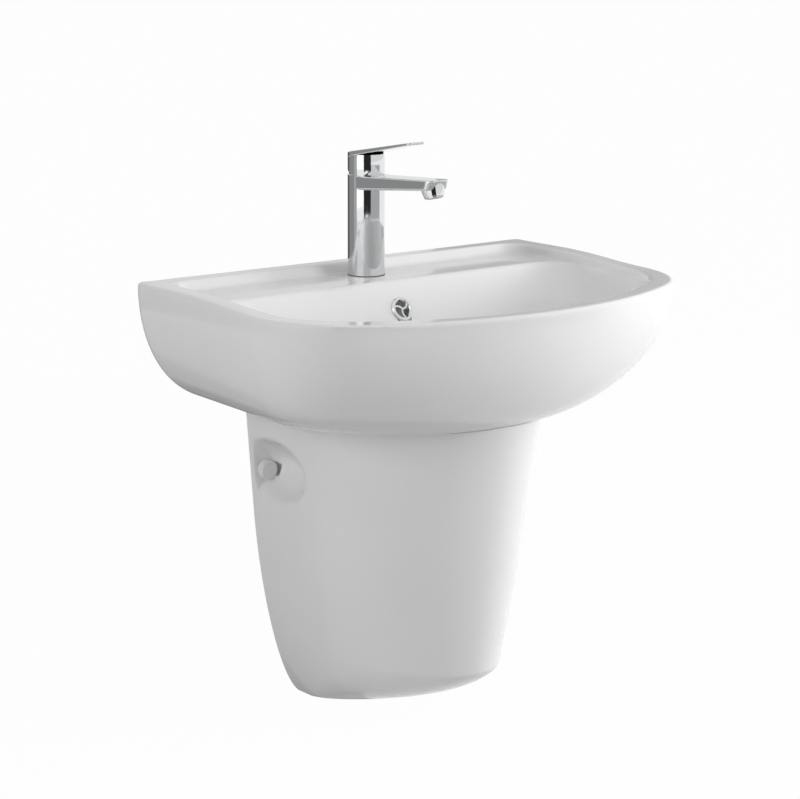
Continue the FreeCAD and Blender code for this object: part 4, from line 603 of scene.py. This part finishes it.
def close_group(tree, geometry, paint):
    real = joined(tree, "GeometryNodeRealizeInstances", {}, geometry)
    painted = joined(tree, "GeometryNodeSetMaterial", {"Material": paint}, real.outputs[0])
    joined(tree, "NodeGroupOutput", {}, painted.outputs[0])


def grown(name, tree, body, slot, **values):
    """The finished piece that a node group makes from these values."""
    host = bpy.data.objects.new(name + "_host", bpy.data.meshes.new(name + "_host"))
    scene.collection.objects.link(host)
    modifier = host.modifiers.new(name, "NODES")
    modifier.node_group = tree
    for socket in tree.interface.items_tree:
        if socket.in_out == "INPUT":
            modifier[socket.identifier] = values[socket.name]
    mesh = settled_mesh(host)
    bpy.data.objects.remove(host)
    item = bpy.data.objects.new(name, mesh)
    scene.collection.objects.link(item)
    finish_surface(item)
    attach(item, body)
    return item


tree, given = node_group(
    "threaded_screws", radius="Float", root="Float", pitch="Float", ridges="Int", length="Float",
    head_radius="Float", head="Float", first="Vector", apart="Vector",
)
along_z = {
    name: joined(tree, "ShaderNodeCombineXYZ", {"Z": given[name]}).outputs[0]
    for name in ("pitch", "head")
}
ridge = joined(tree, "GeometryNodeMeshCone", {
    "Vertices": 24, "Radius Top": given["root"], "Radius Bottom": given["radius"],
    "Depth": given["pitch"],
})
ridge_line = joined(tree, "GeometryNodeMeshLine", {
    "Count": given["ridges"], "Start Location": along_z["head"], "Offset": along_z["pitch"],
})
ridges = joined(
    tree, "GeometryNodeInstanceOnPoints", {"Instance": ridge.outputs["Mesh"]}, ridge_line.outputs[0]
)
shank = joined(tree, "GeometryNodeMeshCone", {
    "Vertices": 24, "Radius Top": given["root"], "Radius Bottom": given["root"],
    "Depth": given["length"],
})
head = joined(tree, "GeometryNodeMeshCone", {
    "Vertices": 32, "Radius Top": given["root"], "Radius Bottom": given["head_radius"],
    "Depth": given["head"],
})
screw = joined(
    tree, "GeometryNodeJoinGeometry", {}, head.outputs["Mesh"], shank.outputs["Mesh"], ridges.outputs[0]
)
laid = joined(tree, "GeometryNodeTransform", {"Rotation": (-math.pi / 2, 0, 0)}, screw.outputs[0])
screw_places = joined(tree, "GeometryNodeMeshLine", {
    "Count": 2, "Start Location": given["first"], "Offset": given["apart"],
})
screws = joined(
    tree, "GeometryNodeInstanceOnPoints", {"Instance": laid.outputs[0]}, screw_places.outputs[0]
)
close_group(tree, screws.outputs[0], given["paint"])
drawn_into_wall = 0.008
pedestal_screws = grown(
    "pedestal_screw_pair", tree, "basin_unit", "steel", paint=steel,
    radius=screw_head / 2, root=screw_head * 0.36, pitch=0.0021, ridges=6,
    length=drawn_into_wall - screw_low[1], head_radius=screw_head, head=0.003,
    first=(-lug.x, screw_low[1], lug.z), apart=(2 * lug.x, 0, 0),
)
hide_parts("pedestal_screws")


# Mixer: one chromed brass casting, a column with its spout and nozzle. It stands on a rubber gasket
# over the tap hole, and a stud pulls a horseshoe washer up under the deck.
chrome = surface("chrome_plate", (0.80, 0.81, 0.82), 0.05, 1.0)
tint(chrome, grain(chrome, 45, 2), 0.035, 0.065, "Roughness")
tint(chrome, grain(chrome, 20, 2), (0.79, 0.80, 0.81), (0.81, 0.82, 0.83))
deck_z = rim_z - deck_drop
tap_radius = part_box("mixer_body")[1][0]
seam_z = deck_z + 0.125
soft_edge = 0.0008


def edge_inset(distance, radius):
    """How far a surface draws in at a distance from the end of a piece whose edge has that radius."""
    left = np.clip(radius - np.asarray(distance, dtype=float), 0, radius)
    return radius - np.sqrt(np.maximum(radius**2 - left**2, 0))


def turned_piece(name, profile, turn=Matrix.Identity(3), at=(0, 0, 0), segments=96, open_middle=False):
    """A solid turned about Z from (radius, height) rows, then put in place. With an open middle the
    rows are a closed outline, as for a ring."""
    angle = np.linspace(0, 2 * math.pi, segments, endpoint=False)
    points = [
        tuple(turn @ Vector((radius * math.cos(a), radius * math.sin(a), height)) + Vector(at))
        for radius, height in profile for a in angle
    ]
    loops = (len(profile), segments)
    return solid(name, points, ring_faces(*loops, True) if open_middle else capped_faces(*loops))


def round_end(radius, height, edge, upward=True):
    """Rows of a profile that round one end of a turned piece."""
    angle = np.linspace(0, math.pi / 2, 5)
    rows = [(radius - edge * (1 - math.cos(a)), height - edge * (1 - math.sin(a))) for a in angle]
    return rows if upward else [(r, 2 * height - z) for r, z in reversed(rows)]


column = turned_piece(
    "mixer_chrome",
    round_end(tap_radius, deck_z, soft_edge, False) + round_end(tap_radius, seam_z, soft_edge / 2),
    at=(0, tap_y, 0),
)
spout_reach, spout_rise, undercut = 0.145, 0.0065, 0.0042
spout_root_thick, spout_tip_thick = 0.0185, 0.0125
spout_end = tap_y - spout_reach


def spout_station(distance):
    """A section across the spout, a rounded oblong, at a distance from its slanting end."""
    end_round = float(edge_inset(distance, 0.0015))
    y_top, y_low = spout_end + distance, spout_end + distance + undercut
    along_top = (tap_y - y_top) / spout_reach
    along_low = (tap_y - y_low) / (spout_reach - undercut)
    half = 0.022 - 0.005 * along_top - float(edge_inset(distance, 0.010)) - 0.2 * end_round
    top = seam_z + spout_rise * max(0.0, along_top - 0.163) / 0.837 - end_round
    lift = (spout_rise - spout_tip_thick + spout_root_thick) * along_low
    low = seam_z - spout_root_thick + lift + end_round
    section = []
    for side_x, side_z, start in ((1, 1, 0), (-1, 1, 90), (-1, -1, 180), (1, -1, 270)):
        corner = 0.0024 if side_z > 0 else 0.0030
        for angle in np.radians(np.linspace(start, start + 90, 8)):
            x = side_x * (half - corner) + corner * math.cos(angle)
            z = (top - corner if side_z > 0 else low + corner) + corner * math.sin(angle)
            share = (z - low) / (top - low)
            section.append((x, y_low + (y_top - y_low) * share, z))
    return section


stations = [0.0] + [0.0015 * (1 - math.cos(a)) for a in np.linspace(0.35, math.pi / 2, 6)]
stations += list(0.0015 + 0.0085 * (1 - np.cos(np.linspace(0.2, math.pi / 2, 12))))
stations += list(np.linspace(0.014, 0.140, 40))
spout_rows = [spout_station(distance) for distance in stations]
spout = solid("spout", np.array(spout_rows), capped_faces(len(spout_rows), len(spout_rows[0])))
nozzle_tilt = math.radians(15)
nozzle_turn = Matrix.Rotation(math.pi - nozzle_tilt, 3, "X")
nozzle_reach = 0.129
nozzle_top_z = seam_z + spout_rise * nozzle_reach / spout_reach - spout_tip_thick / 2
nozzle_top = Vector((0, tap_y - nozzle_reach, nozzle_top_z))
nozzle_length = 0.01525
nozzle = turned_piece(
    "nozzle",
    [(0.0150, 0.001), (0.0155 - 0.0034 * 0.2, nozzle_length * 0.2)]
    + round_end(0.0123, nozzle_length, soft_edge),
    nozzle_turn, nozzle_top,
)
cut(column, "UNION", spout, nozzle)
mouth_way = nozzle_turn @ Vector((0, 0, 1))
mouth = drum("nozzle_mouth", 0.0115, nozzle_top + 0.006 * mouth_way, nozzle_top + 0.04 * mouth_way, 72)
seat_bore = drum("cartridge_seat", 0.0195, (0, tap_y, seam_z - 0.034), (0, tap_y, seam_z + 0.01), 72)
base_bore = drum("base_bore", 0.0200, (0, tap_y, deck_z - 0.01), (0, tap_y, seam_z - 0.050), 72)
cut(column, "DIFFERENCE", mouth, seat_bore, base_bore)
finish_surface(column, math.radians(28))
coat(column, chrome)
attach(column, "basin_unit")
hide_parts("mixer_body")

# Lever: a chromed hub that drops over the cartridge's dome, with a thin blade rising towards the
# front. A screw under the grey index cap at the back clamps it on the spindle.
pivot = Vector((0, tap_y, seam_z + 0.001))
rise = math.tan(math.radians(10))
lever_length = 0.100
blade_root, blade_tip = 0.0225, 0.0130
lever_edge = 0.0012
blade_reach, blade_low, blade_thick, blade_end_thick = 0.123, 0.024, 0.006, 0.0025
blade_high = blade_low + blade_thick


def lever_plan(inset):
    """The lever from above: round the hub at the back, then straight sides that narrow to the tip."""
    hub, tip_round = tap_radius - inset, 0.0045
    back = [(hub * math.cos(a), tap_y + hub * math.sin(a)) for a in np.linspace(-0.12, math.pi / 2, 30)]
    end_y = tap_y - lever_length + inset
    half = blade_tip - inset
    sides = []
    for share in np.linspace(0.1, 0.93, 14):
        half_here = blade_root + (blade_tip - blade_root) * share - inset
        sides.append((half_here, tap_y - lever_length * share))
    corner = [
        (half - tip_round + tip_round * math.cos(a), end_y + tip_round - tip_round * math.sin(a))
        for a in np.linspace(0.05, math.pi / 2, 10)
    ]
    right = list(reversed(back)) + sides + corner
    return np.array(right + [(-x, y) for x, y in reversed(right)])


def lever_plane(points, root, slope, lift):
    """Points raised onto a plane that is root high at the hub's axis."""
    return np.column_stack([points, root + slope * (tap_y - points[:, 1]) + lift])


blade_end_low = rise * blade_reach + blade_low + blade_thick - blade_end_thick
low_slope = (blade_end_low - blade_low) / blade_reach
blade_rows = []
quarter = np.linspace(0, math.pi / 2, 5)
for angle in quarter:
    inset, lift = lever_edge * (1 - math.sin(angle)), 0.8 * lever_edge * (1 - math.cos(angle))
    blade_rows.append(lever_plane(lever_plan(inset * 0.8), seam_z + blade_low, low_slope, lift))
for angle in reversed(quarter):
    inset, drop = lever_edge * (1 - math.sin(angle)), lever_edge * (1 - math.cos(angle))
    blade_rows.append(lever_plane(lever_plan(inset), seam_z + blade_high, rise, -drop))
blade_faces = capped_faces(len(blade_rows), len(blade_rows[0]))
blade = solid("lever_chrome", np.array(blade_rows), blade_faces)
hub_low = seam_z + 0.0006
hub = turned_piece(
    "lever_hub",
    round_end(tap_radius, hub_low, soft_edge / 2, False)
    + [(tap_radius, seam_z + 0.020), (tap_radius - 0.0008, seam_z + 0.0255)],
    at=(0, tap_y, 0), segments=118,
)
cut(blade, "UNION", hub)
hollow_ball = bpy.data.meshes.new("lever_hollow")
shape = bmesh.new()
bmesh.ops.create_uvsphere(
    shape, u_segments=72, v_segments=36, radius=0.0217, matrix=Matrix.Translation(pivot)
)
shape.to_mesh(hollow_ball)
shape.free()
hollow_ball = bpy.data.objects.new("lever_hollow", hollow_ball)
scene.collection.objects.link(hollow_ball)
lever_boss = drum("lever_boss", 0.0065, pivot + Vector((0, 0, 0.0064)), pivot + Vector((0, 0, 0.04)))
cut(hollow_ball, "DIFFERENCE", lever_boss)
square_half, square_top = 0.004, seam_z + 0.021
square = bar("spindle_square", square_half, [
    (tap_y + square_half, pivot.z),
    (tap_y + square_half, square_top),
    (tap_y - square_half, square_top),
    (tap_y - square_half, pivot.z),
])
heel = math.tan(math.radians(23)) * 2 * tap_radius
tilt_room = bar("tilt_room", tap_radius + 0.002, [
    (tap_y, hub_low - 0.0012), (tap_y, hub_low), (tap_y + 2 * tap_radius, hub_low + heel),
    (tap_y + 2 * tap_radius, hub_low - 0.0012),
])
screw_z = seam_z + 0.016
hub_back = tap_y + tap_radius
cap_seat = drum(
    "index_seat", 0.0035, (0, hub_back - 0.0042, screw_z), (0, hub_back + 0.01, screw_z), 48
)
screw_way_back = drum("grub_screw_way", 0.0025, (0, tap_y, screw_z), (0, hub_back, screw_z), 32)
cut(blade, "DIFFERENCE", hollow_ball, square, tilt_room, cap_seat, screw_way_back)
finish_surface(blade, math.radians(28))
coat(blade, chrome)
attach(blade, "lever")
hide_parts("lever_handle")

# Mixer's inner parts: a nylon cartridge with ground ceramic discs, clamped by a brass ring nut under
# a chrome dome, and the aerator screwed up into the nozzle.
brass = surface("machined_brass", (0.70, 0.53, 0.27), 0.28, 1.0)
tint(brass, grain(brass, 120, 2, (1, 1, 8)), 0.22, 0.36, "Roughness")
tint(brass, grain(brass, 25, 3), (0.66, 0.49, 0.24), (0.74, 0.57, 0.30))
rubber = surface("black_rubber", (0.02, 0.02, 0.02), 0.65, ior=1.52)
tint(rubber, grain(rubber, 80, 3), (0.016, 0.016, 0.016), (0.030, 0.030, 0.030))
relief(rubber, grain(rubber, 700, 1), 0.00005, 0.5)
alumina = surface("ground_alumina", (0.86, 0.84, 0.79), 0.3, ior=1.76)
tint(alumina, grain(alumina, 200, 2), (0.84, 0.82, 0.77), (0.88, 0.86, 0.81))
index_grey = surface("index_grey", (0.25, 0.25, 0.27), 0.3, ior=1.49)
tint(index_grey, grain(index_grey, 200, 2), (0.23, 0.23, 0.25), (0.28, 0.28, 0.30))
dress(chrome, "mixer_dome", "aerator_housing")
dress(steel, "tap_stud", "horseshoe_washer", "cartridge_pin", "cartridge_spindle", "lever_screw")
dress(brass, "inlet_block", "tap_nut", "ring_nut")
dress(rubber, "tap_gasket", "horseshoe_gasket", "aerator_seal", "cartridge_seals")
dress(nylon, "aerator_insert", "cartridge_body", "cartridge_turret")
dress(alumina, "ceramic_disc", "moving_disc")
dress(index_grey, "index_cap")
# A thin ring of black rubber, 0.8 mm high, round the foot of the column. It is partly the edge of the
# base seal and partly painted contact shade along the line where the mixer meets the deck.
seal_and_contact_shade_ring = turned_piece(
    "seal_and_contact_shade_ring", [(0.0215, 0.0), (0.0232, 0.0), (0.0234, 0.0004), (0.0232, 0.0008), (0.0215, 0.0008)],
    at=(0, tap_y, deck_z), open_middle=True,
)
finish_surface(seal_and_contact_shade_ring)
coat(seal_and_contact_shade_ring, rubber)
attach(seal_and_contact_shade_ring, "basin_unit")

# Waste and trap: a slotted chrome waste clamped through the bowl, a push plug in it, and a chromed
# bottle trap that slips on below and runs back to the wall.
dress(chrome, "waste_body", "waste_plug", "overflow_ring", "wall_rosette")
dress(chrome, "slip_nuts", "tailpiece", "outlet_pipe", "trap_body", "trap_cup")
dress(rubber, "waste_flange_gasket", "waste_gasket", "slip_seals", "plug_seal")
dress(nylon, "plug_guide")
dress(brass, "waste_nut")

# Studio: a pale floor, a white surround and soft lamps, most of them on the right. The lamps aren't
# mirrored: china and chrome mirror the surround and the panels. None of it is part of the basin.
floor_z = cad_low[2] - 0.003
floor_mesh = bpy.data.meshes.new("floor")
floor_mesh.from_pydata(
    [(-20, -20, floor_z), (20, -20, floor_z), (20, 20, floor_z), (-20, 20, floor_z)], [], [(0, 1, 2, 3)]
)
floor = bpy.data.objects.new("floor", floor_mesh)
scene.collection.objects.link(floor)
floor_paint = surface("floor_paint", (0.50, 0.50, 0.50), 0.9)
floor_mesh.materials.append(floor_paint)


def show_white(tree, shader, share, output):
    """Seen directly, or in metal and glass, the surface is this share plain white."""
    rays = tree.nodes.new("ShaderNodeLightPath")
    white = tree.nodes.new("ShaderNodeEmission" if share < 1 else "ShaderNodeBackground")
    white.inputs["Strength"].default_value = 1.0
    seen = rays.outputs["Is Camera Ray"]
    for other in ("Is Glossy Ray", "Is Transmission Ray"):
        most = tree.nodes.new("ShaderNodeMath")
        most.operation = "MAXIMUM"
        tree.links.new(seen, most.inputs[0])
        tree.links.new(rays.outputs[other], most.inputs[1])
        seen = most.outputs[0]
    part = tree.nodes.new("ShaderNodeMath")
    part.operation = "MULTIPLY"
    part.inputs[1].default_value = share
    tree.links.new(seen, part.inputs[0])
    blend = tree.nodes.new("ShaderNodeMixShader")
    tree.links.new(part.outputs[0], blend.inputs[0])
    tree.links.new(shader.outputs[0], blend.inputs[1])
    tree.links.new(white.outputs[0], blend.inputs[2])
    tree.links.new(blend.outputs[0], output.inputs["Surface"])


paint = floor_paint.node_tree
show_white(paint, paint.nodes["Principled BSDF"], 0.98, paint.nodes["Material Output"])
world = bpy.data.worlds.new("studio")
scene.world = world
world.use_nodes = True
sky = world.node_tree
sky.nodes["Background"].inputs["Color"].default_value = (1, 1, 1, 1)
sky.nodes["Background"].inputs["Strength"].default_value = 0.42
show_white(sky, sky.nodes["Background"], 1, sky.nodes["World Output"])


def screen(name, bearings, low_edge, high_edge, glow):
    """A curved studio panel round the basin, between bearings in degrees; an edge is (distance, z)."""
    steps = 24
    bearing = np.radians(np.linspace(*bearings, steps + 1))
    points = [
        (distance * math.cos(angle), distance * math.sin(angle) - 0.2, height)
        for distance, height in (low_edge, high_edge) for angle in bearing
    ]
    faces = [(place, place + 1, place + steps + 2, place + steps + 1) for place in range(steps)]
    mesh = bpy.data.meshes.new(name)
    mesh.from_pydata(points, [], faces)
    panel = bpy.data.objects.new(name, mesh)
    scene.collection.objects.link(panel)
    paint = surface(name + "_paint", (0, 0, 0), 0.9)
    paint.node_tree.nodes["Principled BSDF"].inputs["Emission Color"].default_value = (1, 1, 1, 1)
    paint.node_tree.nodes["Principled BSDF"].inputs["Emission Strength"].default_value = glow
    mesh.materials.append(paint)
    panel.visible_camera = False
    panel.visible_diffuse = False


screen("dark_panel_far", (56, 104), (1.9, floor_z), (1.9, 0.22), 0.10)
screen("pale_panel_far", (51, 104), (1.9, 0.22), (1.9, 1.3), 0.80)
screen("grey_panel_behind", (33, 51), (1.9, 0.22), (1.9, 0.90), 0.30)
for start, end, glow in ((132, 150, 0.86), (114, 132, 0.66), (96, 114, 0.42), (46, 96, 0.22)):
    ground_z = floor_z + 0.004 - 0.00001 * end
    screen(f"grey_ground_{end}", (start, end), (0.10, ground_z), (1.9, ground_z), glow)
screen("grey_panel_left", (104, 148), (2.0, floor_z), (2.0, 1.3), 0.27)
screen("pale_panel_left", (148, 168), (1.9, floor_z), (1.9, 1.3), 0.42)
screen("white_panel_left", (168, 212), (3.7, floor_z), (3.7, 2.1), 1.3)
screen("grey_panel_front", (-121, -34), (2.1, floor_z), (2.1, 0.02), 0.42)
screen("black_panel_camera", (-146, -100), (2.0, -0.235), (2.0, 0.9), 0.01)
screen("black_panel_low", (-146, -136), (1.98, -0.29), (1.98, -0.235), 0.03)


lamp_size = 1.2
lamp_aim = Vector((0, -0.2, -0.05))


def lamp(name, at, power):
    """A soft square lamp, seen by no ray that is mirrored."""
    data = bpy.data.lights.new(name, "AREA")
    data.shape = "RECTANGLE"
    data.size = lamp_size
    data.size_y = lamp_size
    data.energy = power
    item = bpy.data.objects.new(name, data)
    scene.collection.objects.link(item)
    item.visible_glossy = False
    item.location = at
    item.rotation_euler = (lamp_aim - Vector(at)).to_track_quat("-Z", "Y").to_euler()


lamp("right", (2.867, -0.915, 0.521), 35)
lamp("front_right_low", (1.886, -2.448, 0.624), 36)
lamp("front_right_high", (1.5, -1.7, 2.121), 17.5)
lamp("left_fill", (-2.887, 0.053, 0.776), 28)

# Camera: in front of the basin and to its left, a little above the rim.
camera_data = bpy.data.cameras.new("camera")
camera = bpy.data.objects.new("camera", camera_data)
scene.collection.objects.link(camera)
camera_data.sensor_width = 36
camera_data.lens = 104.857
look = Vector((0.60657781, 0.76603026, -0.21274634))
right = Vector((0.78450038, -0.62011598, 0.0039151))
up = right.cross(look)
camera.matrix_world = Matrix((
    (right.x, up.x, -look.x, -1.74577966),
    (right.y, up.y, -look.y, -2.33042774),
    (right.z, up.z, -look.z, rim_z + 0.45254297),
    (0, 0, 0, 1),
))
scene.camera = camera
scene.view_settings.view_transform = "Standard"
